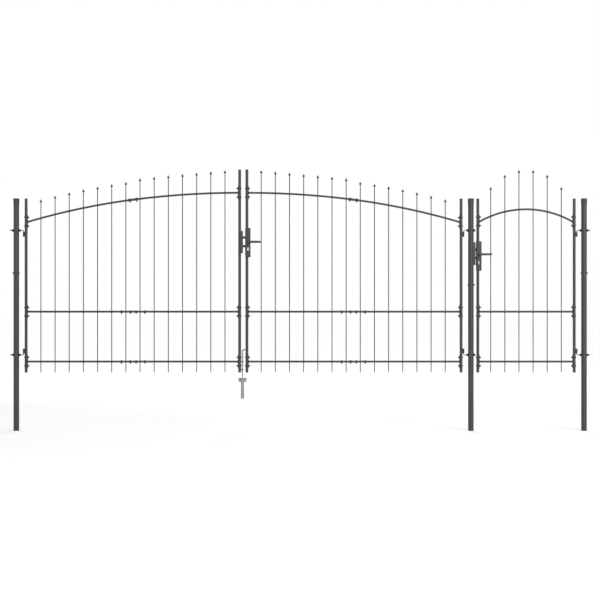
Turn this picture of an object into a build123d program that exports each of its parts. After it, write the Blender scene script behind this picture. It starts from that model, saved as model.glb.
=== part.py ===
from build123d import *
import os
from math import asin, cos, pi, radians, sin, sqrt

os.makedirs("parts", exist_ok=True)

# Wrought iron driveway gate: a pair of driveway leaves and a walk gate between three round posts.
# Millimetres. +X runs to the viewer's right, +Y away from the viewer, +Z up.
# The origin is the middle of the middle post's foot.

# Widths between tube centres
LEFT_LEAF = 1840.0
RIGHT_LEAF = 1845.5
WALK_LEAF = 830.5
MEETING_GAP = 62.7
HINGE_OFFSET = 84.4
LATCH_OFFSET = 60.0

# Heights
POST_TOP = 2001.0
LEAF_FOOT = 500.0
STILE_TOP = 2000.0
MEETING_TOP = 2250.0
LOW_RAIL_Z = 595.0
MID_RAIL_Z = 1025.0

# Stock sizes: tubes and bars
POST_OD = 48.3
POST_WALL = 2.0
FOOT_DISC_T = 3.0
STILE_OD = 25.0
STILE_WALL = 1.5
RAIL_OD = 17.2
BAR_D = 8.0

# The driveway arch: an inner arc that is level at the meeting stile, and an outer arc tangent to it
ARCH_TOP_Z = 2049.5
ARCH_IN_R = 7130.0
ARCH_OUT_R = 5900.0
SPLIT_AT = 923.0

# The walk gate arch
WALK_ARCH_TOP_Z = 1907.0
WALK_ARCH_R = 806.6

# Upright bars of a driveway leaf, counted from the hinge stile
BARS_PER_PANEL = 7
BAR_PITCH = 122.0
LEFT_FIRST_BAR = 127.5
RIGHT_FIRST_BAR = 136.5
WALK_BARS = 6
WALK_PITCH = 121.7

# Spear heads: heights of the widest part above the arch or as a line of their own
HEAD_R = 12.0
HEAD_DROP = 10.0
HEAD_RISE = 20.0
OUTER_HEAD_OVER = 144.5
INNER_HEAD_LOW_Z = 2157.5
INNER_HEAD_HIGH_Z = 2226.0
INNER_HEAD_BOW = 3.0
WALK_HEAD_TOP_Z = 2234.0
WALK_HEAD_R = 380.0

# Saddle brackets between rails and stiles
SADDLE_T = 3.5
SADDLE_H = 116.0
SADDLE_HALF_ANGLE = 62.0
SADDLE_FIT = 0.1
WELD_FIT = 0.05

# Sides that round stock is drawn with, where it repeats
ROUND_SIDES = 12
RAIL_SIDES = 6
BAR_SIDES = 6
CAP_SIDES = 16
EVEN_AREA = 1.1

# Hook and eye hinges
PIN_D = 10.0
EYE_OD = 16.0
EYE_H = 40.0
EYE_FIT = 0.2
UPPER_HOOK_Z = 1725.0
LOWER_HOOK_Z = 653.0
HOOK_BEND_R = 12.0
HOOK_STUB = 55.0
MIDDLE_STUB = 39.0
WASHER_OD = 26.0
NUT_AF = 17.0
NUT_END = 38.5
WASHER_END = 29.5
THREAD_FIT = 0.1
POST_HOLE_FIT = 0.3

# Post caps
CAP_H = 58.0
CAP_TOP_T = 5.0
CAP_TOP_OD = 53.0
CAP_LOW_OD = 50.4
CAP_FIT = 0.1

# Stile end caps
PLUG_FLANGE = 6.0
PLUG_DEPTH = 14.0
PLUG_BEVEL = 1.5
PLUG_FIT = 0.1

# Lock cases, measured from the stile they sit on
CASE_LEFT = 15.0
CASE_RIGHT = 31.0
CASE_T = 40.0
CASE_SOCKET = 32.0
SOCKET_FIT = 0.1
CASE_ROUND = 10.0
CASE_BEVEL = (14.0, 8.0)
CASE_END_CUT = 3.0
CASE_TAPER = (1.9, 24.0)
SPINDLE_OUT = 9.7
SPINDLE_R = 5.0
SPINDLE_FIT = 0.15
SLOT_OUT = 9.0
SLOT_W = 11.5
SLOT_H = 30.0
BOLT_H = 20.0
BOLT_T = 10.0
BOLT_FIT = 0.3
LATCH_INSIDE = 18.0
DEAD_INSIDE = 9.0
BOLT_SHORT = 1.0
LATCH_POCKET = 26.0
DEAD_POCKET = 16.0

# Lever handles
LEVER_REACH = 108.0
LEVER_H = 17.0
LEVER_END_H = 14.0
LEVER_T = 10.0
LEVER_END_CUT = 3.0
LEVER_OUT = 30.0
NECK_R = 9.0

# Keepers
KEEPER_OUT = 28.0
KEEPER_BACK = 4.0
KEEPER_T = 32.0
POST_KEEPER_OUT = 38.4
POST_KEEPER_BACK = 14.0
POST_KEEPER_T = 46.0
KEEPER_BEVEL = (9.0, 6.0)
KEEPER_END_CUT = 3.0
KEEPER_SLOT_H = 26.0
KEEPER_SLOT_T = 16.0
KEEPER_SLOT_DEEP = 14.5

# Drop rod and its ground socket
ROD_D = 12.0
ROD_GAP = 6.0
ROD_TOP_Z = 703.0
ROD_BEND_R = 11.0
ROD_HANDLE_CLEAR = 1.7
ROD_EYE_OD = 20.0
ROD_EYE_H = 8.0
ROD_EYE_FIT = 0.3
ROD_EYES_Z = (595.0, 526.0)
SOCKET_TOP_Z = 457.0
SOCKET_HEAD_H = 40.0
SOCKET_FOOT_Z = 276.0
SOCKET_W = 73.0
SOCKET_OD = 30.0
SOCKET_BORE = 18.0
SOCKET_DEEP = 120.0
FIN_T = 6.0
ROD_SHORT = 4.0

# Lines that follow from the sizes
POST_R = POST_OD / 2
STILE_R = STILE_OD / 2
RAIL_R = RAIL_OD / 2
BAR_R = BAR_D / 2
X_MIDDLE = 0.0
X_RIGHT_HINGE = X_MIDDLE - HINGE_OFFSET
X_RIGHT_MEET = X_RIGHT_HINGE - RIGHT_LEAF
X_LEFT_MEET = X_RIGHT_MEET - MEETING_GAP
X_LEFT_HINGE = X_LEFT_MEET - LEFT_LEAF
X_LEFT_POST = X_LEFT_HINGE - HINGE_OFFSET
X_WALK_LATCH = X_MIDDLE + LATCH_OFFSET
X_WALK_HINGE = X_WALK_LATCH + WALK_LEAF
X_RIGHT_POST = X_WALK_HINGE + HINGE_OFFSET
SADDLE_R = STILE_R + SADDLE_FIT + SADDLE_T
EYE_OUT = STILE_R + EYE_OD / 2 + WELD_FIT
ROD_OUT = STILE_R + ROD_GAP + ROD_D / 2
ROD_HANDLE = MEETING_GAP - STILE_R - ROD_OUT - ROD_HANDLE_CLEAR
LOW_ALIGN = (Align.CENTER, Align.CENTER, Align.MIN)


class LockLayout:
    """Heights of one lock: its case, lever, latch, dead bolt and key slot."""

    def __init__(self, stile_x, low, high, lever, latch, dead, slot, face_gap):
        self.stile_x = stile_x
        self.low = low
        self.high = high
        self.lever = lever
        self.latch = latch
        self.dead = dead
        self.slot = slot
        self.face_gap = face_gap


# The two locks and the two keepers stand at the heights seen in the photograph
GAP_DRIVE = (X_RIGHT_MEET - CASE_LEFT) - (X_LEFT_MEET + KEEPER_OUT)
GAP_WALK = (X_WALK_LATCH - CASE_LEFT) - (X_MIDDLE + POST_KEEPER_OUT)
DRIVE_LOCK = LockLayout(X_RIGHT_MEET, 1493.6, 1746.8, 1627.0, 1664.0, 1589.0, 1564.5, GAP_DRIVE)
WALK_LOCK = LockLayout(X_WALK_LATCH, 1377.4, 1631.4, 1519.4, 1559.0, 1487.0, 1448.5, GAP_WALK)
DRIVE_KEEPER = (1528.3, 1721.0)
WALK_KEEPER = (1426.5, 1623.5)


def upright(x, z0, z1, radius, y=0.0):
    """A round bar standing from z0 to z1."""
    return Pos(x, y, z0) * Cylinder(radius, z1 - z0, align=LOW_ALIGN)


def lying_y(x, y0, y1, z, radius):
    """A round bar lying along Y."""
    return Pos(x, y0, z) * Rot(-90, 0, 0) * Cylinder(radius, y1 - y0, align=LOW_ALIGN)


def block(x0, x1, y0, y1, z0, z1):
    """A box between two corners."""
    size = (x1 - x0, y1 - y0, z1 - z0)
    return Pos((x0 + x1) / 2, (y0 + y1) / 2, (z0 + z1) / 2) * Box(*size)


def prism_x(x0, x1, z, radius):
    """A bar with flat sides lying along X, turned as the hook bolts are."""
    cut = Plane(origin=(x0, 0, z), x_dir=(0, 1, 0), z_dir=(1, 0, 0))
    return extrude(cut * RegularPolygon(radius, ROUND_SIDES), x1 - x0)


def tube(x, z0, z1, outer, wall):
    """A standing tube, open at both ends."""
    return upright(x, z0, z1, outer) - upright(x, z0 - 1, z1 + 1, outer - wall)


def save(shape, name):
    """Write one named piece."""
    shape.label = name
    export_step(shape, "parts/" + name + ".step")


def together(pieces):
    """Like pieces that don't touch, kept as one node."""
    solids = []
    for piece in pieces:
        solids.extend(piece.solids())
    return Compound(children=solids)


# Arch lines
def arc_height(s, centre_s, centre_z, radius):
    """Height of an arc at a distance along the leaf."""
    return centre_z + sqrt(radius ** 2 - (s - centre_s) ** 2)


def drive_arcs(width):
    """Centre and radius of the inner and the outer arc of a driveway leaf."""
    inner = (width, ARCH_TOP_Z - ARCH_IN_R, ARCH_IN_R)
    lean = asin((width - SPLIT_AT) / ARCH_IN_R)
    split_z = arc_height(SPLIT_AT, *inner)
    outer_s = SPLIT_AT + ARCH_OUT_R * sin(lean)
    outer = (outer_s, split_z - ARCH_OUT_R * cos(lean), ARCH_OUT_R)
    return inner, outer


def arc_rail(x_at, stations, arc):
    """A round rail, drawn with few sides, bent along an arc in short straight lengths."""
    points = sorted((x_at(s), 0.0, arc_height(s, *arc)) for s in stations)
    run, rise = points[1][0] - points[0][0], points[1][2] - points[0][2]
    cut = Plane(origin=points[0], x_dir=(0, 1, 0), z_dir=(run, 0, rise))
    section = cut * RegularPolygon(RAIL_R * EVEN_AREA, RAIL_SIDES)
    return sweep(section, path=Polyline(*points), transition=Transition.RIGHT)


def stations(first_bar, pitch, count, s0, s1, per_pitch):
    """Where a bent rail's straight lengths meet, so that each bar crosses the middle of one."""
    step = pitch / per_pitch
    inside = []
    s = first_bar - step / 2
    while s < first_bar + pitch * (count - 0.5):
        if s0 + 5 < s < s1 - 5:
            inside.append(s)
        s += step
    return [s0] + inside + [s1]


def straight_rail(x_at, s0, s1, z):
    """A round rail, drawn with few sides, lying along X."""
    x0, x1 = sorted((x_at(s0), x_at(s1)))
    cut = Plane(origin=(x0, 0, z), x_dir=(0, 1, 0), z_dir=(1, 0, 0))
    section = cut * RegularPolygon(RAIL_R * EVEN_AREA, RAIL_SIDES)
    return extrude(section, x1 - x0)


def upright_bar(x, top):
    """A round bar, drawn with few sides, from the leaf's foot up into its spear head."""
    section = Plane(origin=(x, 0, LEAF_FOOT)) * RegularPolygon(BAR_R * EVEN_AREA, BAR_SIDES)
    return extrude(section, top - LEAF_FOOT)


def faceted(x, rings, sides):
    """A closed solid of flat faces, drawn through rings of (height, radius) about a standing axis."""
    loops = []
    for z, radius in rings:
        turns = [2 * pi * index / sides for index in range(sides)]
        loops.append([(x + radius * cos(turn), radius * sin(turn), z) for turn in turns])
    faces = [Face(Wire.make_polygon(loops[0])), Face(Wire.make_polygon(loops[-1]))]
    for lower, upper in zip(loops, loops[1:]):
        for index in range(sides):
            after = (index + 1) % sides
            corners = [lower[index], lower[after], upper[after], upper[index]]
            faces.append(Face(Wire.make_polygon(corners)))
    return Solid(Shell(faces))


def spear_head(x, z):
    """A spear head with eight sides: a double cone drawn out to a point."""
    rings = (
        (z - HEAD_DROP, BAR_R + 0.6),
        (z - 1.5, HEAD_R),
        (z + HEAD_RISE * 0.48, BAR_R + 0.2),
        (z + HEAD_RISE, 0.8),
    )
    return faceted(x, rings, 8)


def drive_head_z(index, s, arcs):
    """Height of a driveway leaf's spear head, counted from the hinge stile."""
    if index < BARS_PER_PANEL:
        return arc_height(s, *arcs[1]) + OUTER_HEAD_OVER
    share = (index - BARS_PER_PANEL) / (BARS_PER_PANEL - 1)
    line = INNER_HEAD_LOW_Z + (INNER_HEAD_HIGH_Z - INNER_HEAD_LOW_Z) * share
    return line + 4 * INNER_HEAD_BOW * share * (1 - share)


def drive_panel(x_at, width, first_bar, inner_half):
    """One half of a driveway leaf: three rails, their upright bars and spear heads."""
    arcs = drive_arcs(width)
    reach = SADDLE_R + WELD_FIT
    s0 = SPLIT_AT if inner_half else 10.0
    s1 = width - 10.0 if inner_half else SPLIT_AT
    arc = arcs[0] if inner_half else arcs[1]
    body = straight_rail(x_at, s0, s1, LOW_RAIL_Z)
    over = RAIL_R / 2
    arc_s0 = s0 - over if inner_half else s0
    arc_s1 = s1 if inner_half else s1 + over
    joints = stations(first_bar, BAR_PITCH, 2 * BARS_PER_PANEL, arc_s0, arc_s1, 1)
    pieces = [straight_rail(x_at, s0, s1, MID_RAIL_Z), arc_rail(x_at, joints, arc)]
    first = BARS_PER_PANEL if inner_half else 0
    for index in range(first, first + BARS_PER_PANEL):
        s = first_bar + BAR_PITCH * index
        head_z = drive_head_z(index, s, arcs)
        pieces.append(upright_bar(x_at(s), head_z))
        pieces.append(spear_head(x_at(s), head_z))
    body = body + pieces
    stile_s = width if inner_half else 0.0
    body = body - upright(x_at(stile_s), LEAF_FOOT, MEETING_TOP, reach)
    beyond = SPLIT_AT - 2 * RAIL_OD if inner_half else SPLIT_AT + 2 * RAIL_OD
    x0, x1 = sorted((x_at(SPLIT_AT), x_at(beyond)))
    return body - block(x0, x1, -RAIL_OD, RAIL_OD, LEAF_FOOT, MEETING_TOP)


def walk_panel():
    """The walk gate's filling: three rails, six bars and their spear heads."""
    def x_at(s):
        return X_WALK_LATCH + s

    arc = (WALK_LEAF / 2, WALK_ARCH_TOP_Z - WALK_ARCH_R, WALK_ARCH_R)
    head_arc = (WALK_LEAF / 2, WALK_HEAD_TOP_Z - WALK_HEAD_R, WALK_HEAD_R)
    reach = SADDLE_R + WELD_FIT
    body = straight_rail(x_at, 10.0, WALK_LEAF - 10.0, LOW_RAIL_Z)
    pieces = [straight_rail(x_at, 10.0, WALK_LEAF - 10.0, MID_RAIL_Z)]
    first = (WALK_LEAF - WALK_PITCH * (WALK_BARS - 1)) / 2
    joints = stations(first, WALK_PITCH, WALK_BARS, 10.0, WALK_LEAF - 10.0, 3)
    pieces.append(arc_rail(x_at, joints, arc))
    for index in range(WALK_BARS):
        s = first + WALK_PITCH * index
        head_z = arc_height(s, *head_arc)
        pieces.append(upright_bar(x_at(s), head_z))
        pieces.append(spear_head(x_at(s), head_z))
    body = body + pieces
    body = body - upright(X_WALK_LATCH, LEAF_FOOT, MEETING_TOP, reach)
    return body - upright(X_WALK_HINGE, LEAF_FOOT, MEETING_TOP, reach)


# Saddle brackets
def saddle(stile_x, side, z):
    """A curved plate against the stile, which a rail end is welded to; side is +1 or -1."""
    low, high = z - SADDLE_H / 2, z + SADDLE_H / 2
    inner = STILE_R + SADDLE_FIT
    shell = upright(stile_x, low, high, SADDLE_R) - upright(stile_x, low - 1, high + 1, inner)
    near = SADDLE_R * cos(radians(SADDLE_HALF_ANGLE))
    x0, x1 = sorted((stile_x + side * near, stile_x + side * (SADDLE_R + 2)))
    return shell & block(x0, x1, -30, 30, low - 2, high + 2)


def drive_saddles(x_at, width, side):
    """The six saddles of a driveway leaf."""
    inner, outer = drive_arcs(width)
    hinge_z = (LOW_RAIL_Z, MID_RAIL_Z, arc_height(20.0, *outer))
    meet_z = (LOW_RAIL_Z, MID_RAIL_Z, arc_height(width - 20.0, *inner))
    pieces = [saddle(x_at(0.0), side, z) for z in hinge_z]
    return pieces + [saddle(x_at(width), -side, z) for z in meet_z]


def walk_saddles():
    """The six saddles of the walk gate."""
    arc = (WALK_LEAF / 2, WALK_ARCH_TOP_Z - WALK_ARCH_R, WALK_ARCH_R)
    heights = (LOW_RAIL_Z, MID_RAIL_Z, arc_height(20.0, *arc))
    pieces = [saddle(X_WALK_LATCH, 1, z) for z in heights]
    return pieces + [saddle(X_WALK_HINGE, -1, z) for z in heights]


# Stiles and their end caps
def stile(x, top):
    """A plain stile tube, shortened by its end caps."""
    return tube(x, LEAF_FOOT + PLUG_FLANGE, top - PLUG_FLANGE, STILE_R, STILE_WALL)


def lock_stile(x, top, lock):
    """A stile tube that is cut at the lock, with both ends in the case's sockets."""
    lower = tube(x, LEAF_FOOT + PLUG_FLANGE, lock.low + CASE_SOCKET, STILE_R, STILE_WALL)
    upper = tube(x, lock.high - CASE_SOCKET, top - PLUG_FLANGE, STILE_R, STILE_WALL)
    return [lower, upper]


def end_cap(x, end, up):
    """A plastic end cap: a flange on the tube's end and a plug inside it; up is +1 or -1."""
    shoulder = end - up * PLUG_FLANGE
    z0, z1 = sorted((shoulder, end))
    radii = (STILE_R, STILE_R, STILE_R - PLUG_BEVEL)
    heights = (shoulder, end - up * PLUG_BEVEL, end)
    flange = faceted(x, sorted(zip(heights, radii)), CAP_SIDES)
    plug_end = shoulder - up * PLUG_DEPTH
    z2, z3 = sorted((plug_end, shoulder))
    plug = RegularPolygon(STILE_R - STILE_WALL - PLUG_FIT, ROUND_SIDES)
    return flange + extrude(Plane(origin=(x, 0, z2)) * plug, z3 - z2)


def end_caps(x, top):
    """Both end caps of one stile."""
    return [end_cap(x, top, 1), end_cap(x, LEAF_FOOT, -1)]


# Posts
def post(x, hook_heights):
    """A round post tube with a closed foot and a cross hole for each hinge hook."""
    body = tube(x, 0.0, POST_TOP - CAP_TOP_T, POST_R, POST_WALL)
    body = body + upright(x, 0.0, FOOT_DISC_T, POST_R)
    for z in hook_heights:
        body = body - prism_x(x - POST_OD, x + POST_OD, z, PIN_D / 2 + POST_HOLE_FIT)
    return body


def post_cap(x):
    """A tapered cap that slides over the post's top."""
    low = POST_TOP - CAP_H
    sides = 2 * ROUND_SIDES
    body = faceted(x, ((low, CAP_LOW_OD / 2), (POST_TOP, CAP_TOP_OD / 2)), sides)
    bore_r = (POST_R + CAP_FIT) / cos(pi / sides)
    return body - faceted(x, ((low - 1, bore_r), (POST_TOP - CAP_TOP_T, bore_r)), sides)


# Hinges
def hook(post_x, side, z, up, stub):
    """A threaded hook bolt: through the post, then bent up or down as the hinge pin."""
    pin_x = post_x + side * (HINGE_OFFSET - EYE_OUT)
    pin_end = z + up * (HOOK_BEND_R + EYE_H + 9)
    points = [(post_x - side * stub, 0, z), (pin_x, 0, z), (pin_x, 0, pin_end)]
    path = FilletPolyline(*points, radius=HOOK_BEND_R)
    start = Plane(origin=points[0], x_dir=(0, 1, 0), z_dir=(side, 0, 0))
    return sweep(start * RegularPolygon(PIN_D / 2, ROUND_SIDES), path=path)


def nut_pair(post_x, z):
    """Washers and nuts that clamp a hook bolt on both sides of the post."""
    pieces = []
    for side in (-1, 1):
        seat = Plane(origin=(post_x + side * (POST_R + THREAD_FIT), 0, z), z_dir=(side, 0, 0))
        washer = extrude(seat * RegularPolygon(WASHER_OD / 2, ROUND_SIDES), WASHER_END - POST_R - THREAD_FIT)
        face = Plane(origin=(post_x + side * WASHER_END, 0, z), z_dir=(side, 0, 0))
        nut = extrude(face * RegularPolygon(NUT_AF / 2, 6, major_radius=False), NUT_END - WASHER_END)
        bore = prism_x(post_x - HOOK_STUB, post_x + HOOK_STUB, z, PIN_D / 2 + THREAD_FIT)
        pieces.append(washer + nut - bore)
    return pieces


def hinge_eye(stile_x, side, z0):
    """A short tube welded to the stile; side points from the stile to its post."""
    x = stile_x + side * EYE_OUT
    return tube(x, z0, z0 + EYE_H, EYE_OD / 2, (EYE_OD - PIN_D) / 2 - EYE_FIT)


def hinge_eyes(stile_x, side):
    """The upper and the lower eye of one leaf."""
    upper = UPPER_HOOK_Z - HOOK_BEND_R - 1.5 - EYE_H
    lower = LOWER_HOOK_Z + HOOK_BEND_R + 0.3
    return [hinge_eye(stile_x, side, upper), hinge_eye(stile_x, side, lower)]


# Locks
def bevelled_bar(x0, x1, thickness, low, high, bevel, end_cut):
    """A standing block with both corners at x1 bevelled, and the ends of its far side cut back."""
    half = thickness / 2
    along, across = bevel
    plan = Polyline(
        (x0, -half, low),
        (x1 - along, -half, low),
        (x1, across - half, low),
        (x1, half - across, low),
        (x1 - along, half, low),
        (x0, half, low),
        close=True,
    )
    body = extrude(make_face(plan), high - low, dir=(0, 0, 1))
    flat = body.faces().filter_by(Axis.Z).sort_by(Axis.Z)
    rims = [edge for face in flat for edge in face.edges() if edge.center().X > x1 - along - 0.1]
    return chamfer(rims, end_cut)


def lock_case(lock):
    """The case: sockets for the cut stile, pockets for latch and dead bolt, a see-through key slot."""
    x = lock.stile_x
    x0, x1 = x - CASE_LEFT, x + CASE_RIGHT
    body = bevelled_bar(x0, x1, CASE_T, lock.low, lock.high, CASE_BEVEL, CASE_END_CUT)
    left = body.edges().filter_by(Axis.Z).sort_by(Axis.X)[:2]
    body = fillet(left, CASE_ROUND)
    inset, run = CASE_TAPER
    for end, up in ((lock.low, 1), (lock.high, -1)):
        corners = [(x0 - 1, 0, end - up), (x0 + inset, 0, end - up), (x0 + inset, 0, end)]
        corners = corners + [(x0, 0, end + up * run), (x0 - 1, 0, end + up * run)]
        wedge = make_face(Polyline(*corners, close=True))
        body = body - extrude(wedge, CASE_T, both=True, dir=(0, 1, 0))
    body = body - upright(x, lock.low - 1, lock.low + CASE_SOCKET, STILE_R + SOCKET_FIT)
    body = body - upright(x, lock.high - CASE_SOCKET, lock.high + 1, STILE_R + SOCKET_FIT)
    half_h = BOLT_H / 2 + BOLT_FIT
    half_t = BOLT_T / 2 + BOLT_FIT
    body = body - block(x0 - 1, x0 + LATCH_POCKET, -half_t, half_t, lock.latch - half_h, lock.latch + half_h)
    body = body - block(x0 - 1, x0 + DEAD_POCKET, -half_t, half_t, lock.dead - half_h, lock.dead + half_h)
    body = body - lying_y(x + SPINDLE_OUT, -CASE_T, CASE_T, lock.lever, SPINDLE_R + SPINDLE_FIT)
    return body - key_slot(x + SLOT_OUT, lock.slot)


def key_slot(x, z):
    """The slot for a profile cylinder, rounded at both ends, right through the case."""
    half = (SLOT_H - SLOT_W) / 2
    slot = block(x - SLOT_W / 2, x + SLOT_W / 2, -CASE_T, CASE_T, z - half, z + half)
    slot = slot + lying_y(x, -CASE_T, CASE_T, z - half, SLOT_W / 2)
    return slot + lying_y(x, -CASE_T, CASE_T, z + half, SLOT_W / 2)


def lock_bolt(lock, z, inside, slanted):
    """A latch or a dead bolt, its nose just short of the keeper."""
    face = lock.stile_x - CASE_LEFT
    nose = face - lock.face_gap + BOLT_SHORT
    low, high = z - BOLT_H / 2, z + BOLT_H / 2
    bolt = block(nose, face + inside, -BOLT_T / 2, BOLT_T / 2, low, high)
    if slanted:
        corner = bolt.edges().filter_by(Axis.Z).sort_by(Axis.X)[:2].sort_by(Axis.Y)[1]
        return chamfer(corner, 3.0)
    return bolt


def lever_pair(lock):
    """Two levers on one spindle, one on each face of the case."""
    x = lock.stile_x + SPINDLE_OUT
    z = lock.lever
    face = CASE_T / 2
    out = face + LEVER_OUT
    body = lying_y(x, -out + 2, out - 2, z, SPINDLE_R)
    for side in (-1, 1):
        y0, y1 = sorted((side * (face + 1.0), side * out))
        neck = lying_y(x, y0, y1, z, NECK_R)
        y2, y3 = sorted((side * (out - LEVER_T), side * out))
        body = body + neck + lever_blade(x, z, y2, y3)
    return body


def lever_blade(x, z, y0, y1):
    """The flat arm of a lever, which narrows towards its cut-back end."""
    high, end = LEVER_H / 2, LEVER_END_H / 2
    reach = x + LEVER_REACH
    outline = Polyline(
        (x, y0, z - high),
        (reach - LEVER_END_CUT, y0, z - end),
        (reach, y0, z - end + LEVER_END_CUT),
        (reach, y0, z + end - LEVER_END_CUT),
        (reach - LEVER_END_CUT, y0, z + end),
        (x, y0, z + high),
        close=True,
    )
    return extrude(make_face(outline), y1 - y0, dir=(0, 1, 0))


# Keepers
def keeper_slots(x0, x1, lock):
    """The two slots that the latch and the dead bolt enter."""
    half_t = KEEPER_SLOT_T / 2
    half_h = KEEPER_SLOT_H / 2
    upper = block(x0, x1, -half_t, half_t, lock.latch - half_h, lock.latch + half_h)
    return upper + block(x0, x1, -half_t, half_t, lock.dead - half_h, lock.dead + half_h)


def stile_keeper():
    """The driveway keeper, hugging the left leaf's meeting stile."""
    x = X_LEFT_MEET
    low, high = DRIVE_KEEPER
    near, far = x + KEEPER_BACK, x + KEEPER_OUT
    body = bevelled_bar(near, far, KEEPER_T, low, high, KEEPER_BEVEL, KEEPER_END_CUT)
    body = body - upright(x, low - 1, high + 1, STILE_R + SADDLE_FIT)
    return body - keeper_slots(x + KEEPER_OUT - KEEPER_SLOT_DEEP, x + KEEPER_OUT + 1, DRIVE_LOCK)


def post_keeper():
    """The walk gate's keeper, hugging the middle post."""
    x = X_MIDDLE
    low, high = WALK_KEEPER
    near, far = x + POST_KEEPER_BACK, x + POST_KEEPER_OUT
    body = bevelled_bar(near, far, POST_KEEPER_T, low, high, KEEPER_BEVEL, KEEPER_END_CUT)
    body = body - upright(x, low - 1, high + 1, POST_R + SADDLE_FIT)
    deep = min(KEEPER_SLOT_DEEP, POST_KEEPER_OUT - POST_R - 0.5)
    return body - keeper_slots(x + POST_KEEPER_OUT - deep, x + POST_KEEPER_OUT + 1, WALK_LOCK)


# Drop rod
def drop_rod():
    """A round rod whose top is bent over as its handle."""
    x = X_LEFT_MEET + ROD_OUT
    foot = SOCKET_TOP_Z + ROD_SHORT
    points = [(x, 0, foot), (x, 0, ROD_TOP_Z - ROD_D / 2), (x + ROD_HANDLE, 0, ROD_TOP_Z - ROD_D / 2)]
    path = FilletPolyline(*points, radius=ROD_BEND_R)
    return sweep(Plane(origin=points[0]) * RegularPolygon(ROD_D / 2, ROUND_SIDES), path=path)


def rod_eye(z):
    """A ring welded to the stile, which guides the drop rod."""
    x = X_LEFT_MEET + ROD_OUT
    low, high = z - ROD_EYE_H / 2, z + ROD_EYE_H / 2
    ring = upright(x, low, high, ROD_EYE_OD / 2)
    neck = block(X_LEFT_MEET + STILE_R - 3, x, -6, 6, low, high)
    body = ring + neck - upright(X_LEFT_MEET, low - 1, high + 1, STILE_R + WELD_FIT)
    return body - upright(x, low - 1, high + 1, ROD_D / 2 + ROD_EYE_FIT)


def ground_socket():
    """A tube with two side fins, set in the ground under the drop rod."""
    x = X_LEFT_MEET + ROD_OUT
    head_low = SOCKET_TOP_Z - SOCKET_HEAD_H
    body = upright(x, SOCKET_FOOT_Z, SOCKET_TOP_Z, SOCKET_OD / 2)
    half = SOCKET_W / 2
    outline = Polyline(
        (-half, 0, SOCKET_TOP_Z),
        (half, 0, SOCKET_TOP_Z),
        (half, 0, head_low + 10),
        (half - 10, 0, head_low),
        (-half + 10, 0, head_low),
        (-half, 0, head_low + 10),
        close=True,
    )
    fins = extrude(make_face(outline), FIN_T / 2, both=True, dir=(0, 1, 0))
    body = body + Pos(x, 0, 0) * fins
    return body - upright(x, SOCKET_TOP_Z - SOCKET_DEEP, SOCKET_TOP_Z + 1, SOCKET_BORE / 2)


def left_x(s):
    """X at a distance along the left leaf."""
    return X_LEFT_HINGE + s


def right_x(s):
    """X at a distance along the right leaf, counted from its hinge stile."""
    return X_RIGHT_HINGE - s


# Posts and what is fixed to them
HOOK_HEIGHTS = (UPPER_HOOK_Z, LOWER_HOOK_Z)
save(post(X_LEFT_POST, HOOK_HEIGHTS), "left_post")
save(post(X_MIDDLE, HOOK_HEIGHTS), "middle_post")
save(post(X_RIGHT_POST, HOOK_HEIGHTS), "right_post")
save(together([post_cap(x) for x in (X_LEFT_POST, X_MIDDLE, X_RIGHT_POST)]), "post_caps")


def hooks(post_x, side, stub):
    """The upper hook, bent down, and the lower hook, bent up."""
    return [hook(post_x, side, UPPER_HOOK_Z, -1, stub), hook(post_x, side, LOWER_HOOK_Z, 1, stub)]


save(together(hooks(X_LEFT_POST, 1, HOOK_STUB)), "left_gate_hooks")
save(together(hooks(X_MIDDLE, -1, MIDDLE_STUB)), "right_gate_hooks")
save(together(hooks(X_RIGHT_POST, -1, HOOK_STUB)), "walk_gate_hooks")
NUTS = []
for post_line in (X_LEFT_POST, X_MIDDLE, X_RIGHT_POST):
    for height in HOOK_HEIGHTS:
        NUTS.extend(nut_pair(post_line, height))
save(together(NUTS), "hook_nuts")
save(post_keeper(), "walk_gate_keeper")
save(ground_socket(), "ground_socket")

# Left driveway leaf
save(together([stile(X_LEFT_HINGE, STILE_TOP), stile(X_LEFT_MEET, MEETING_TOP)]), "left_gate_stiles")
save(drive_panel(left_x, LEFT_LEAF, LEFT_FIRST_BAR, False), "left_outer_panel")
save(drive_panel(left_x, LEFT_LEAF, LEFT_FIRST_BAR, True), "left_inner_panel")
save(together(drive_saddles(left_x, LEFT_LEAF, 1)), "left_gate_saddles")
save(together(hinge_eyes(X_LEFT_HINGE, -1)), "left_gate_eyes")
LEFT_CAPS = end_caps(X_LEFT_HINGE, STILE_TOP) + end_caps(X_LEFT_MEET, MEETING_TOP)
save(together(LEFT_CAPS), "left_gate_end_caps")
save(stile_keeper(), "driveway_keeper")
save(together([rod_eye(z) for z in ROD_EYES_Z]), "drop_rod_eyes")
save(drop_rod(), "drop_rod")

# Right driveway leaf
RIGHT_STILES = [stile(X_RIGHT_HINGE, STILE_TOP)] + lock_stile(X_RIGHT_MEET, MEETING_TOP, DRIVE_LOCK)
save(together(RIGHT_STILES), "right_gate_stiles")
save(drive_panel(right_x, RIGHT_LEAF, RIGHT_FIRST_BAR, False), "right_outer_panel")
save(drive_panel(right_x, RIGHT_LEAF, RIGHT_FIRST_BAR, True), "right_inner_panel")
save(together(drive_saddles(right_x, RIGHT_LEAF, -1)), "right_gate_saddles")
save(together(hinge_eyes(X_RIGHT_HINGE, 1)), "right_gate_eyes")
RIGHT_CAPS = end_caps(X_RIGHT_HINGE, STILE_TOP) + end_caps(X_RIGHT_MEET, MEETING_TOP)
save(together(RIGHT_CAPS), "right_gate_end_caps")
save(lock_case(DRIVE_LOCK), "driveway_lock_case")
save(lever_pair(DRIVE_LOCK), "driveway_handle")
save(lock_bolt(DRIVE_LOCK, DRIVE_LOCK.latch, LATCH_INSIDE, True), "driveway_latch")
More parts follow.
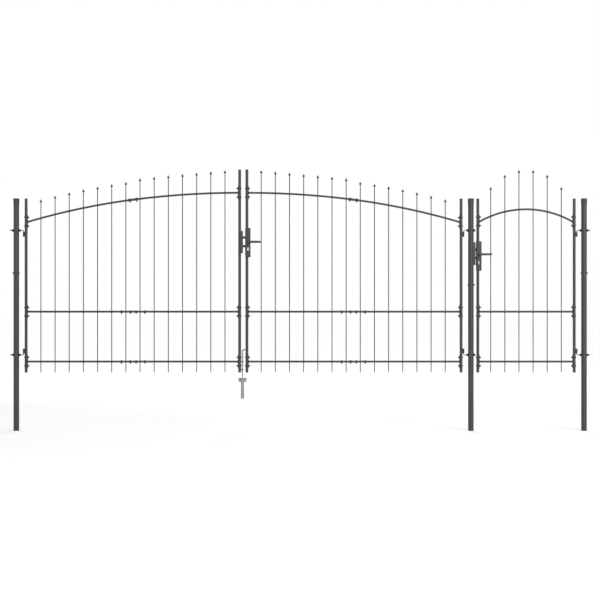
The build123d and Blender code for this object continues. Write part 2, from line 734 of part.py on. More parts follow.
save(lock_bolt(DRIVE_LOCK, DRIVE_LOCK.dead, DEAD_INSIDE, False), "driveway_dead_bolt")

# Walk gate
WALK_STILES = lock_stile(X_WALK_LATCH, STILE_TOP, WALK_LOCK) + [stile(X_WALK_HINGE, STILE_TOP)]
save(together(WALK_STILES), "walk_gate_stiles")
save(walk_panel(), "walk_gate_panel")
save(together(walk_saddles()), "walk_gate_saddles")
save(together(hinge_eyes(X_WALK_HINGE, 1)), "walk_gate_eyes")
WALK_CAPS = end_caps(X_WALK_LATCH, STILE_TOP) + end_caps(X_WALK_HINGE, STILE_TOP)
save(together(WALK_CAPS), "walk_gate_end_caps")
save(lock_case(WALK_LOCK), "walk_gate_lock_case")
save(lever_pair(WALK_LOCK), "walk_gate_handle")
save(lock_bolt(WALK_LOCK, WALK_LOCK.latch, LATCH_INSIDE, True), "walk_gate_latch")
save(lock_bolt(WALK_LOCK, WALK_LOCK.dead, DEAD_INSIDE, False), "walk_gate_dead_bolt")
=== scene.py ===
"""Wrought iron driveway gate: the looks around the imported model. Sizes are millimetres until a mesh is made."""
import logging
import random
from dataclasses import dataclass, field, replace
from enum import Enum
from math import asin, cos, pi, radians, sin, sqrt, tan, tau
from typing import Callable, Sequence

import bmesh
import bpy
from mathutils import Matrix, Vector


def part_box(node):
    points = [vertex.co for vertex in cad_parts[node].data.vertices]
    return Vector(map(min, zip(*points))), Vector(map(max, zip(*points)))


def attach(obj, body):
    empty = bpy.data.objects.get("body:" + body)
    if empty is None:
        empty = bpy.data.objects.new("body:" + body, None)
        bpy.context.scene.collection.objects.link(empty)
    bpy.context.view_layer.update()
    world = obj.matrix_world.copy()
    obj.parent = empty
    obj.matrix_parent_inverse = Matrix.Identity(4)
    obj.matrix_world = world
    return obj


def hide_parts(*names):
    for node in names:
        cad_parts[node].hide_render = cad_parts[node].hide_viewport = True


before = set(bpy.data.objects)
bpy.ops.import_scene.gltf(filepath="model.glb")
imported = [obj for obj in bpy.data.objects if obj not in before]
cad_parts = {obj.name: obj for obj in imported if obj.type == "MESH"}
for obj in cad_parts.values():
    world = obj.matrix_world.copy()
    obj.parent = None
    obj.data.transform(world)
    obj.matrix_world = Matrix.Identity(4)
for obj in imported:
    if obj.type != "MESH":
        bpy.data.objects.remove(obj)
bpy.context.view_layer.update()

log = logging.getLogger("driveway_gate")
MM = 0.001
SUNK = 0.3  # how far a seated piece sits in what carries it, in millimetres
SHARP = radians(32)  # an edge that turns by more than this shows as an edge
Point = tuple[float, float, float]
Ring = list[Point]
Span = tuple[float, float]
Profile = Sequence[tuple[float, float]]


# Colours and nodes
def linear(hex_colour: str) -> tuple[float, float, float, float]:
    """Turns an sRGB hex value to linear light.

    Args:
        hex_colour: a value such as "#56585a".

    Returns:
        Red, green, blue and an alpha of 1.
    """
    parts = [int(hex_colour[i:i + 2], 16) / 255 for i in (1, 3, 5)]
    light = [v / 12.92 if v <= 0.04045 else ((v + 0.055) / 1.055) ** 2.4 for v in parts]
    return (light[0], light[1], light[2], 1.0)


def add_node(tree: bpy.types.NodeTree, kind: str, settings: dict | None = None,
             links: dict | None = None) -> bpy.types.Node:
    """Adds a node with its settings and links.

    Args:
        tree: the node tree.
        kind: the node's type name, without ShaderNode in front.
        settings: input or property names, or input numbers, with their values.
        links: input names or numbers with the sockets that feed them.

    Returns:
        The new node.
    """
    node = tree.nodes.new("ShaderNode" + kind)
    for name, value in (settings or {}).items():
        if isinstance(name, int) or name in node.inputs:
            node.inputs[name].default_value = value
        else:
            setattr(node, name, value)
    for name, source in (links or {}).items():
        tree.links.new(source, node.inputs[name])
    return node


def surface(name: str) -> tuple[bpy.types.Material, bpy.types.NodeTree, bpy.types.Node]:
    """Makes an empty material.

    Args:
        name: the material's name.

    Returns:
        The material, its tree and its Principled shader, linked to the output.
    """
    material = bpy.data.materials.new(name)
    material.use_nodes = True
    tree = material.node_tree
    tree.nodes.clear()
    shader = add_node(tree, "BsdfPrincipled")
    add_node(tree, "OutputMaterial", links={"Surface": shader.outputs["BSDF"]})
    return material, tree, shader


# Finishes
@dataclass(frozen=True)
class Relief:
    """Relief too shallow for the mesh: its grain and depth in millimetres, its detail and its strength."""

    grain_mm: float
    detail: float
    strength: float
    depth_mm: float


@dataclass(frozen=True)
class Finish:
    """A finish whose grey and gloss shift with a pattern of clouds, or of crystals where it is spangled."""

    name: str
    slot: str
    low: str
    high: str
    pattern_mm: float
    rough: tuple[float, float]
    detail: float = 3.0
    metallic: float = 0.0
    ior: float = 1.5
    relief: Relief | None = None
    spangled: bool = False

    def pattern(self, tree: bpy.types.NodeTree, place: bpy.types.NodeSocket) -> tuple[bpy.types.NodeSocket, ...]:
        """Adds the pattern.

        Args:
            tree: the node tree.
            place: the socket that gives the place on the object.

        Returns:
            The socket that shifts the grey, and the one that shifts the gloss.
        """
        scale = 1 / (self.pattern_mm * MM)
        if self.spangled:
            crystal = add_node(tree, "TexVoronoi", {"Scale": scale}, {"Vector": place})
            shade = add_node(tree, "SeparateColor", links={"Color": crystal.outputs["Color"]})
            return shade.outputs["Red"], shade.outputs["Green"]
        cloud = add_node(tree, "TexNoise", {"Scale": scale, "Detail": self.detail}, {"Vector": place})
        return cloud.outputs["Fac"], cloud.outputs["Fac"]

    def make(self) -> bpy.types.Material:
        """Makes the material.

        Returns:
            The material.
        """
        material, tree, shader = surface(self.name)
        place = add_node(tree, "TexCoord").outputs["Object"]
        tone, gloss = self.pattern(tree, place)
        grey = add_node(tree, "Mix", {"data_type": "RGBA", 6: linear(self.low), 7: linear(self.high)},
                        {0: tone})
        tree.links.new(grey.outputs[2], shader.inputs["Base Color"])
        shader.inputs["Metallic"].default_value = self.metallic
        shader.inputs["IOR"].default_value = self.ior
        smooth, rough = self.rough
        if smooth == rough:
            shader.inputs["Roughness"].default_value = rough
        else:
            spread = add_node(tree, "MapRange", {"To Min": smooth, "To Max": rough}, {"Value": gloss})
            tree.links.new(spread.outputs["Result"], shader.inputs["Roughness"])
        if self.relief:
            relief = self.relief
            grain = add_node(tree, "TexNoise",
                             {"Scale": 1 / (relief.grain_mm * MM), "Detail": relief.detail}, {"Vector": place})
            bump = add_node(tree, "Bump", {"Strength": relief.strength, "Distance": relief.depth_mm * MM},
                            {"Height": grain.outputs["Fac"]})
            tree.links.new(bump.outputs["Normal"], shader.inputs["Normal"])
        return material


class Coat(Enum):
    """The finishes that the gate is made in."""

    # Stoved polyester powder coat, sprayed on steel: an even satin grey skin, thicker and thinner in patches a hand
    # wide, with faint orange peel. The peel is about 1 mm across and is drawn at 3 mm, so that a close view shows it
    POWDER = Finish("powder_coated_steel", "powder_coat", "#2f2f31", "#353537", 70.0, (0.47, 0.57),
                    relief=Relief(3.0, 2.0, 0.5, 0.12))
    # Hot-dipped zinc over steel: pale grey crystals a few millimetres across, half dull and half bright
    GALVANISED = Finish("hot_dipped_zinc", "galvanised", "#85888a", "#a0a2a4", 9.0, (0.38, 0.58), metallic=0.85,
                        relief=Relief(4.0, 3.0, 0.3, 0.08), spangled=True)
    # Zinc-plated steel, passivated black: dark and smooth, with a faint cloudy sheen
    BLACK_ZINC = Finish("black_passivated_zinc", "black_zinc", "#242426", "#303032", 6.0, (0.34, 0.52), 4.0, 0.55)
    # Latch and dead bolt steel, nearly black: the dark colour is painted shade for the shade they sit in between lock
    # case and keeper; it has more of the metal's own shine
    SHADE_DARKENED_STEEL = Finish("steel_darkened_as_painted_shade", "bolt_steel", "#28292b", "#37383b", 6.0, (0.32, 0.5), 4.0, 0.7)
    # Injection-moulded polyethylene: matt, with the grain of a spark-eroded mould. The grain is near 0.2 mm and is
    # drawn at 1.2 mm, so that a close view can hold it
    POST_CAP = Finish("moulded_polyethylene", "cap_plastic", "#2e2e2f", "#363637", 1.2, (0.62, 0.62), 2.0, ior=1.51,
                      relief=Relief(1.2, 2.0, 0.4, 0.05))
    END_PLUG = replace(POST_CAP, name="moulded_polyethylene_plug", low="#1c1c1d", high="#232324")


# Drawing
@dataclass(frozen=True)
class Spindle:
    """A straight axis that round pieces are turned about."""

    foot: Point
    way: Point = (0.0, 0.0, 1.0)

    def at(self, radius: float, turn: float, up: float) -> Point:
        """Finds a point by its place about the axis.

        Args:
            radius: the distance from the axis.
            turn: the turn about the axis, in radians.
            up: the distance along the axis.

        Returns:
            The point.
        """
        way = Vector(self.way)
        across = Vector((1.0, 0.0, 0.0)) if abs(way.x) < 0.9 else Vector((0.0, 1.0, 0.0))
        side = (across - way * across.dot(way)).normalized()
        return tuple(Vector(self.foot) + way * up + (side * cos(turn) + way.cross(side) * sin(turn)) * radius)


@dataclass
class Draft:
    """Points and faces of one piece, in millimetres, gathered before its mesh is made."""

    points: list[Point] = field(default_factory=list)
    faces: list[tuple[int, ...]] = field(default_factory=list)

    def skin(self, rings: Sequence[Ring], closed: bool = False) -> None:
        """Joins rings of equal length with faces.

        Args:
            rings: loops of points, from one end to the other.
            closed: True joins the last ring to the first, and False closes both ends.
        """
        first, count, total = len(self.points), len(rings[0]), len(rings)
        for ring in rings:
            self.points.extend(ring)
        for k in range(total if closed else total - 1):
            low, high = first + k * count, first + (k + 1) % total * count
            for i in range(count):
                j = (i + 1) % count
                self.faces.append((low + i, low + j, high + j, high + i))
        if not closed:
            self.faces += [tuple(range(end, end + count)) for end in (first, first + (total - 1) * count)]

    def turned(self, spindle: Spindle, profile: Profile, sides: int = 24, closed: bool = False,
               limit: Callable[[float], float] | None = None) -> None:
        """Turns a profile about an axis.

        Args:
            spindle: the axis.
            profile: pairs of radius and distance along the axis.
            sides: how many points go round.
            closed: True for a profile that is a closed loop.
            limit: the largest radius at each turn, for a nut's flats.
        """
        turns = [tau * i / sides for i in range(sides)]
        self.skin([[spindle.at(min(radius, limit(t)) if limit else radius, t, up) for t in turns]
                   for radius, up in profile], closed)

    def collar(self, spindle: Spindle, rise: Profile, height: float, sides: int = 36,
               limit: Callable[[float], float] | None = None) -> None:
        """Turns a ring whose two ends are alike.

        Args:
            spindle: its axis, with the foot at its near end.
            rise: radius and distance from the end, from the bore outward.
            height: the distance from end to end.
            sides: how many points go round.
            limit: the largest radius at each turn.
        """
        self.turned(spindle, [*rise, *((r, height - up) for r, up in reversed(rise))], sides, True, limit)

    def swept(self, path: Sequence[Point], radius: float, ease: tuple[float, float], sides: int = 24) -> None:
        """Draws a round bar along a path in the plane of X and Z.

        Args:
            path: the points that it follows.
            radius: its radius.
            ease: how much smaller it is at its two ends.
            sides: how many points go round.
        """
        spots = [Vector(p) for p in path]
        across = Vector((0.0, 1.0, 0.0))
        radii = [radius - ease[0]] + [radius] * (len(path) - 2) + [radius - ease[1]]
        turns = [tau * k / sides for k in range(sides)]
        rings = []
        for before, spot, after, r in zip(spots[:1] + spots, spots, spots[1:] + spots[-1:], radii):
            normal = across.cross((after - before).normalized())
            rings.append([tuple(spot + (normal * cos(t) + across * sin(t)) * r) for t in turns])
        self.skin(rings)

    def bead_ring(self, spindle: Spindle, ring_r: float, bead: float, seed: int) -> None:
        """Draws a weld bead round a bar, rippled as the puddles froze.

        Args:
            spindle: the bar's axis, with its foot at the bead.
            ring_r: the radius of the bead's line.
            bead: the bead's own radius.
            seed: fixes its unevenness.
        """
        dice = random.Random(seed)
        count = max(16, 2 * round(pi * ring_r / bead / 1.6))
        turns = [tau * k / 7 for k in range(7)]
        rings = []
        for i in range(count):
            swell = bead * (0.92 + 0.1 * (-1) ** i) * dice.uniform(0.94, 1.06)
            rings.append([spindle.at(ring_r + swell * cos(t), tau * i / count, swell * sin(t)) for t in turns])
        self.skin(rings, True)

    def bead_line(self, foot: Point, length: float, bead: float, seed: int) -> None:
        """Draws a standing weld bead with rounded ends.

        Args:
            foot: its low end.
            length: its length.
            bead: the bead's radius.
            seed: fixes its unevenness.
        """
        dice = random.Random(seed)
        count = max(6, 2 * round(length / bead / 1.4))
        profile = [(bead * 0.3, 0.0)]
        for i in range(1, count):
            profile.append((bead * (0.9 + 0.1 * (-1) ** i) * dice.uniform(0.95, 1.05), length * i / count))
        self.turned(Spindle(foot), profile + [(bead * 0.3, length)], 8)

    def thread(self, spindle: Spindle, radius: float, pitch: float, length: float, sides: int = 18) -> None:
        """Draws a screw thread as a helix, with its far end cut back.

        Args:
            spindle: the screw's axis, with its foot at the near end.
            radius: the outer radius.
            pitch: the distance from turn to turn.
            length: the thread's length.
            sides: how many points go round.
        """
        depth = 0.55 * pitch
        steps = round(length / pitch * 4)
        rings = []
        for k in range(steps + 1):
            up = length * k / steps
            tip = radius - depth + min(1.0, (length - up) / pitch) * depth
            grooves = [abs(2 * ((up / pitch - i / sides) % 1.0) - 1) for i in range(sides)]
            rings.append([spindle.at(min(radius - depth * g, tip), tau * i / sides, up) for i, g in enumerate(grooves)])
        self.skin(rings)

    def nut(self, spindle: Spindle, across_flats: float, bore_r: float, height: float) -> None:
        """Draws a hexagon nut with both faces chamfered.

        Args:
            spindle: its axis, with the foot at its near face.
            across_flats: its width across flats.
            bore_r: the radius of its bore.
            height: its height.
        """
        flat, cut = across_flats / 2, 0.14 * height
        rise = [(bore_r, 0), (flat * 0.97, 0), (flat * 1.04, cut * 0.6), (flat * 1.16, cut * 1.6)]
        self.collar(spindle, rise, height, limit=lambda turn: flat / cos((turn + pi / 6) % (pi / 3) - pi / 6))

    def washer(self, spindle: Spindle, outer: float, bore_r: float, height: float) -> None:
        """Draws a flat washer with broken edges; its foot is at its near face."""
        ease = 0.2 * height
        self.collar(spindle, [(bore_r, 0), (outer - ease, 0), (outer, ease)], height)

    def block(self, x: Span, y: Span, z: Span, ease: float = 0.0) -> None:
        """Draws a block.

        Args:
            x: its two X limits.
            y: its two Y limits.
            z: its two Z limits.
            ease: how far the edges along X are cut back.
        """
        (y0, y1), (z0, z1) = y, z
        loop = [(y0, z0), (y1, z0), (y1, z1), (y0, z1)]
        if ease:
            loop = [(y0 + ease, z0), (y1 - ease, z0), (y1, z0 + ease), (y1, z1 - ease),
                    (y1 - ease, z1), (y0 + ease, z1), (y0, z1 - ease), (y0, z0 + ease)]
        self.skin([[(place, u, v) for u, v in loop] for place in x])


def bent(corners: Sequence[Point], radius: float, steps: int) -> list[Point]:
    """Rounds the corners of a path.

    Args:
        corners: the path's corner points.
        radius: the bend's radius.
        steps: how many lengths draw each bend.

    Returns:
        The path with its corners as arcs.
    """
    spots = [Vector(c) for c in corners]
    path = [corners[0]]
    for before, at, after in zip(spots, spots[1:], spots[2:]):
        come, go = (before - at).normalized(), (after - at).normalized()
        half = come.angle(go) / 2
        centre = at + (come + go).normalized() * (radius / sin(half))
        start, end = (at + leg * (radius / tan(half)) - centre for leg in (come, go))
        path += [tuple(centre + start.slerp(end, k / steps) * radius) for k in range(steps + 1)]
    return path + [corners[-1]]


@dataclass(frozen=True)
class DomeBolt:
    """An 8 mm dome-headed bolt with its nut, washer and the end of its thread."""

    head_r: float = 8.0
    head_h: float = 4.6
    rim: float = 0.5
    nut_af: float = 13.0
    nut_h: float = 6.5
    washer_h: float = 1.2
    shank_r: float = 4.0
    pitch: float = 1.25
    lead: float = 0.5
    end: float = 13.0

    def draw(self, draft: Draft, seat: Point, way: Point, grip: float) -> None:
        """Draws the bolt across what it holds.

        Args:
            draft: what to draw into.
            seat: the middle of the surface under its head.
            way: the direction from the head to the nut.
            grip: the distance from under the head to the far surface.
        """
        leans = [k / 6 * pi / 2 for k in range(1, 6)]
        dome = [(self.head_r * cos(a), self.rim + (self.head_h - self.rim) * sin(a)) for a in leans]
        profile = [(self.head_r, -SUNK), (self.head_r, self.rim), *dome, (0.4, self.head_h)]
        draft.turned(Spindle(seat, tuple(-v for v in way)), profile, 20)
        axis = Spindle(tuple(Vector(seat) + Vector(way) * grip), way)
        bore = self.shank_r - SUNK
        draft.washer(axis, self.nut_af * 0.61, bore, self.washer_h)
        draft.nut(Spindle(axis.at(0, 0, self.washer_h), way), self.nut_af, bore, self.nut_h)
        draft.thread(Spindle(axis.at(0, 0, self.lead), way), self.shank_r, self.pitch, self.end - self.lead, 16)


# Making pieces
@dataclass
class Workshop:
    """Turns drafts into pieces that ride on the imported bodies."""

    coats: dict[Coat, bpy.types.Material] = field(default_factory=dict)

    @staticmethod
    def solid(name: str, draft: Draft) -> bpy.types.Object:
        """Makes an object from a draft.

        Args:
            name: the object's name.
            draft: its points and faces.

        Returns:
            The object, with its faces turned outward.
        """
        mesh = bpy.data.meshes.new(name)
        mesh.from_pydata([tuple(v * MM for v in p) for p in draft.points], [], draft.faces)
        work = bmesh.new()
        work.from_mesh(mesh)
        bmesh.ops.recalc_face_normals(work, faces=work.faces[:])
        work.to_mesh(mesh)
        work.free()
        made = bpy.data.objects.new(name, mesh)
        bpy.context.scene.collection.objects.link(made)
        return made

    def carve(self, piece: bpy.types.Object, hollow: Draft) -> None:
        """Cuts a hollow out of a piece.

        Args:
            piece: the piece.
            hollow: the shape to take away.
        """
        tool = self.solid("hollow", hollow)
        cut = piece.modifiers.new("hollow", "BOOLEAN")
        cut.operation, cut.solver, cut.object = "DIFFERENCE", "EXACT", tool
        whole = piece.data
        graph = bpy.context.evaluated_depsgraph_get()
        piece.data = bpy.data.meshes.new_from_object(piece.evaluated_get(graph))
        piece.modifiers.clear()
        bpy.data.meshes.remove(whole)
        bpy.data.meshes.remove(tool.data)

    def place(self, name: str, draft: Draft, coat: Coat, body: str, *nodes: str, hollow: Draft | None = None) -> None:
        """Makes a piece, dresses it and sets it on its body.

        Args:
            name: the piece's name.
            draft: its points and faces.
            coat: its finish.
            body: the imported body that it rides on.
            nodes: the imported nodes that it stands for.
            hollow: what is cut out of it.
        """
        piece = self.solid(name, draft)
        if hollow:
            self.carve(piece, hollow)
        if coat not in self.coats:
            self.coats[coat] = coat.value.make()
        piece.data.materials.clear()
        piece.data.materials.append(self.coats[coat])
        piece.data.shade_smooth()
        piece.data.set_sharp_from_angle(angle=SHARP)
        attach(piece, body)
        if nodes:
            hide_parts(*nodes)
        log.info("%s: %d faces on %s", name, len(piece.data.polygons), body)


# Setting out
@dataclass(frozen=True)
class Lines:
    """The lines and stock sizes that the gate is set out on."""

    left_leaf: float = 1840.0
    right_leaf: float = 1845.5
    walk_leaf: float = 830.5
    meeting_gap: float = 62.7
    hinge_offset: float = 84.4
    latch_offset: float = 60.0
    foot: float = 500.0
    stile_top: float = 2000.0
    meeting_top: float = 2250.0
    post_top: float = 2001.0
    low_rail: float = 595.0
    mid_rail: float = 1025.0
    post_r: float = 24.15
    stile_r: float = 12.5
    rail_r: float = 8.6
    bar_r: float = 4.0
    saddle_r: float = 16.1
    upper_hook: float = 1725.0
    lower_hook: float = 653.0


LINES = Lines()
# The places of the stiles and posts along the gate, measured from the middle post
RIGHT_HINGE = -LINES.hinge_offset
RIGHT_MEET = RIGHT_HINGE - LINES.right_leaf
LEFT_MEET = RIGHT_MEET - LINES.meeting_gap
LEFT_HINGE = LEFT_MEET - LINES.left_leaf
LEFT_POST = LEFT_HINGE - LINES.hinge_offset
WALK_HINGE = LINES.latch_offset + LINES.walk_leaf
RIGHT_POST = WALK_HINGE + LINES.hinge_offset
# How far along its leaf the arch meets a saddle
ARCH_SEAT = 20.0
DRIVE_LOCK_SPAN = (1493.6, 1746.8)
WALK_LOCK_SPAN = (1377.4, 1631.4)


@dataclass(frozen=True)
class Arc:
    """An arch line over a leaf."""

    middle: float
    centre_z: float
    radius: float

    def height(self, s: float) -> float:
        """Its height at a distance along the leaf."""
        return self.centre_z + sqrt(self.radius ** 2 - (s - self.middle) ** 2)

    def slope(self, s: float) -> float:
        """Its lean at a distance along the leaf, in radians."""
        return -asin((s - self.middle) / self.radius)


# Posts
@dataclass
class Posts:
    """Three round posts with tapered caps, and the bolts that cross them."""

    shop: Workshop
    cap_h: float = 58.0
    cap_top_r: float = 26.5
    cap_low_r: float = 25.2
    outer_bolt_z: float = 1358.0
    middle_bolt_z: float = 1257.0
    bolt: DomeBolt = DomeBolt(end=9.3)
    sides: int = 64

    def build(self) -> None:
        """Builds the posts with closed feet, their flared and slightly domed caps, and the cross bolts."""
        caps, bolts = Draft(), Draft()
        r, top = LINES.post_r, LINES.post_top
        low, seam, seat = top - self.cap_h, top - self.cap_h / 2, r - SUNK
        skirt, crown = self.cap_low_r, self.cap_top_r
        tube_line = [(r - 0.6, 0.0), (r, 0.6), (r, seam), (r - 2, seam + 0.3)]
        cap_line = [(r, low + 1), (skirt - 0.5, low), (skirt, low + 0.6), (crown - 0.1, top - 5), (crown, top - 4),
                    (crown - 0.2, top - 2.6), (crown - 1.4, top - 1.3), (crown - 4, top - 0.7),
                    (crown / 2, top - 0.15), (0.5, top)]
        for name, x, bolt_z, way in (("left_post", LEFT_POST, self.outer_bolt_z, -1),
                                     ("middle_post", 0.0, self.middle_bolt_z, 1),
                                     ("right_post", RIGHT_POST, self.outer_bolt_z, 1)):
            axis, tube = Spindle((x, 0, 0)), Draft()
            tube.turned(axis, tube_line, self.sides)
            self.shop.place(name + "_tube", tube, Coat.POWDER, "posts", name)
            caps.turned(axis, cap_line, self.sides)
            self.bolt.draw(bolts, (x - way * seat, 0, bolt_z), (way, 0, 0), 2 * seat)
        self.shop.place("post_cap_mouldings", caps, Coat.POST_CAP, "posts", "post_caps")
        self.shop.place("post_cross_bolts", bolts, Coat.BLACK_ZINC, "posts")


# Hinges
@dataclass
class HookHinges:
    """Threaded hook bolts through a post, with the eyes that hang on them."""

    shop: Workshop
    leaf: str
    post_x: float
    stile_x: float
    stub: float
    pin_r: float = 5.0
    eye_r: float = 8.0
    eye_h: float = 40.0
    bend_r: float = 12.0
    pin_past: float = 3.5
    pin_fit: float = 0.2
    upper_gap: float = 1.5
    lower_gap: float = 0.3
    hidden: float = 4.0
    bead_y: float = 4.2
    bead_r: float = 2.2
    bead_back: float = 3.0
    saddle_washer_r: float = 12.4
    washer_r: float = 11.2
    washer_h: float = 2.0
    washer_end: float = 29.5
    nut_af: float = 17.0
    nut_end: float = 38.5
    pitch: float = 1.5

    def __post_init__(self) -> None:
        """Finds the stile's side, +1 to the right of its post, and the hinge line."""
        self.side = 1 if self.stile_x > self.post_x else -1
        self.pin_x = self.stile_x - self.side * (LINES.stile_r + self.eye_r + 0.05)

    def hook(self, draft: Draft, z: float, up: int) -> None:
        """Draws one hook bolt.

        Args:
            draft: what to draw into.
            z: the bolt's height.
            up: +1 where its pin points up, -1 where it points down.
        """
        near = LINES.post_r - self.hidden
        pin_end = z + up * (self.bend_r + self.eye_h + self.pin_past)
        corners = [(self.post_x + self.side * near, 0.0, z), (self.pin_x, 0.0, z), (self.pin_x, 0.0, pin_end - up)]
        draft.swept(bent(corners, self.bend_r, 10) + [(self.pin_x, 0.0, pin_end)], self.pin_r, (0.0, 1.0))
        for way, proud, end in ((-self.side, 0.0, self.stub), (self.side, 0.05, self.nut_end + 3)):
            foot = (self.post_x + way * near, 0, z)
            draft.thread(Spindle(foot, (way, 0, 0)), self.pin_r + proud, self.pitch, end - near)

    def build(self) -> None:
        """Builds the hooks on the posts, and the eyes on the leaf with the weld beads that hold them."""
        hooks, eyes = Draft(), Draft()
        self.hook(hooks, LINES.upper_hook, -1)
        self.hook(hooks, LINES.lower_hook, 1)
        bore, r, h = self.pin_r + self.pin_fit, self.eye_r, self.eye_h
        bead_x = self.stile_x - self.side * (LINES.stile_r + 0.1)
        upper = LINES.upper_hook - self.bend_r - self.upper_gap - h
        for z in (upper, LINES.lower_hook + self.bend_r + self.lower_gap):
            eyes.collar(Spindle((self.pin_x, 0, z)), [(bore, 0.5), (bore + 0.5, 0), (r - 0.5, 0), (r, 0.5)], h, 32)
            for y in (-self.bead_y, self.bead_y):
                bead_h = h - 2 * self.bead_back
                eyes.bead_line((bead_x, y, z + self.bead_back), bead_h, self.bead_r, int(z) + int(y * 10))
        self.shop.place(self.leaf + "_hook_bolts", hooks, Coat.GALVANISED, "posts", self.leaf + "_hooks")
        self.shop.place(self.leaf + "_welded_eyes", eyes, Coat.POWDER, self.leaf, self.leaf + "_eyes")

    def clamps(self, draft: Draft) -> None:
        """Draws the washers and nuts on both sides of the post.

        Args:
            draft: what to draw into.
        """
        bore, seat = self.pin_r + 0.1, LINES.post_r + 0.1
        saddle_h = self.washer_end - seat - self.washer_h
        for z in (LINES.upper_hook, LINES.lower_hook):
            for side in (-1, 1):
                # A curved saddle washer seats on the round post, and a flat one lies under the nut
                for out, r, height in ((seat, self.saddle_washer_r, saddle_h),
                                       (seat + saddle_h, self.washer_r, self.washer_h)):
                    draft.washer(Spindle((self.post_x + side * out, 0, z), (side, 0, 0)), r, bore, height)
                face = Spindle((self.post_x + side * self.washer_end, 0, z), (side, 0, 0))
                draft.nut(face, self.nut_af, self.pin_r - 0.2, self.nut_end - self.washer_end)


# Leaves
@dataclass
class Stiles:
    """The two round stiles of one leaf with their end caps. A stile that holds a lock is in two lengths."""

    shop: Workshop
    leaf: str
    tubes: Sequence[tuple[float, float]]
    lock_x: float | None = None
    lock_span: Span = (0.0, 0.0)
    socket: float = 32.0
    flange: float = 6.0
    sides: int = 48

    def build(self) -> None:
        """Builds the tubes, cut where a lock case stands, and the caps."""
        tubes, caps = Draft(), Draft()
        r = LINES.stile_r
        wall = [(r - 1.5, 0.0), (r - 0.4, 0.0), (r, 0.4)]
        plug = [(r - 1.6, 12), (r - 1.6, 6.1), (r - 0.5, 6.0), (r, 5.6), (r, 2.2), (r - 0.5, 0.9), (r - 1.8, 0.3),
                (r / 2, 0.08), (0.4, 0.0)]
        for x, top in self.tubes:
            cuts = [LINES.foot + self.flange, top - self.flange]
            if x == self.lock_x:
                cuts[1:1] = [self.lock_span[0] + self.socket, self.lock_span[1] - self.socket]
            for low, high in zip(cuts[::2], cuts[1::2]):
                tubes.collar(Spindle((x, 0, low)), wall, high - low, self.sides)
            for end, up in ((top, -1), (LINES.foot, 1)):
                caps.turned(Spindle((x, 0, 0)), [(radius, end + up * back) for radius, back in plug], self.sides)
        self.shop.place(self.leaf + "_stile_tubes", tubes, Coat.POWDER, self.leaf, self.leaf + "_stiles")
        self.shop.place(self.leaf + "_stile_caps", caps, Coat.END_PLUG, self.leaf, self.leaf + "_end_caps")


@dataclass
class Saddles:
    """Curved plates bolted to the stiles, which the rails are welded to."""

    shop: Workshop
    leaf: str
    places: Sequence[tuple[float, int, float]]
    height: float = 116.0
    thickness: float = 3.5
    half_angle: float = radians(62)
    corner: float = 9.0
    ease: float = 0.5
    columns: int = 28
    bolt_rise: float = 37.0
    bolt: DomeBolt = DomeBolt()

    def plate(self, x: float, side: int, z: float) -> list[Ring]:
        """Sets out one plate.

        Args:
            x: the stile's place.
            side: +1 where the rail runs to the right.
            z: the rail's height.

        Returns:
            Its upright sections, round the stile.
        """
        outer, inner, ease = LINES.saddle_r, LINES.saddle_r - self.thickness, self.ease
        rings = []
        for k in range(self.columns + 1):
            turn = self.half_angle * sin(pi / 2 * (2 * k / self.columns - 1))
            over = max(0.0, abs(turn) * outer - (self.half_angle * outer - self.corner))
            top = self.height / 2 - self.corner + sqrt(max(0.0, self.corner ** 2 - over ** 2))
            loop = [(inner, top - ease), (inner + ease, top), (outer - ease, top), (outer, top - ease)]
            loop += [(r, -up) for r, up in reversed(loop)]
            rings.append([(x + side * r * cos(turn), r * sin(turn), z + up) for r, up in loop])
        return rings

    def build(self) -> None:
        """Builds the plates and their bolts."""
        plates, bolts = Draft(), Draft()
        seat = LINES.stile_r - SUNK
        for x, side, z in self.places:
            plates.skin(self.plate(x, side, z))
            for rise in (-self.bolt_rise, self.bolt_rise):
                self.bolt.draw(bolts, (x - side * seat, 0, z + rise), (side, 0, 0), seat + LINES.saddle_r - 0.2)
        self.shop.place(self.leaf + "_saddle_plates", plates, Coat.POWDER, self.leaf, self.leaf + "_saddles")
        self.shop.place(self.leaf + "_saddle_bolts", bolts, Coat.BLACK_ZINC, self.leaf)


@dataclass(frozen=True)
class SpearHead:
    """A turned spear head: a rounded double cone drawn out to a point."""

    radius: float = 12.0
    drop: float = 10.0
    rise: float = 20.0

    def draw(self, draft: Draft, x: float, z: float) -> None:
        """Draws one head.

        Args:
            draft: what to draw into.
            x: its place.
            z: the height of its widest part.
        """
        r = self.radius
        profile = [(LINES.bar_r, -self.drop), (LINES.bar_r + 0.8, -self.drop + 0.2), (r * 0.66, -6.0), (r * 0.9, -3.4),
                   (r * 0.985, -1.8), (r, -0.8), (r * 0.97, 0.4), (r * 0.84, 2.2), (r * 0.58, 5.2), (r * 0.41, 8.4),
                   (r * 0.29, 12.0), (r * 0.17, 16.5), (0.9, 19.0), (0.35, self.rise)]
        draft.turned(Spindle((x, 0, z)), profile)


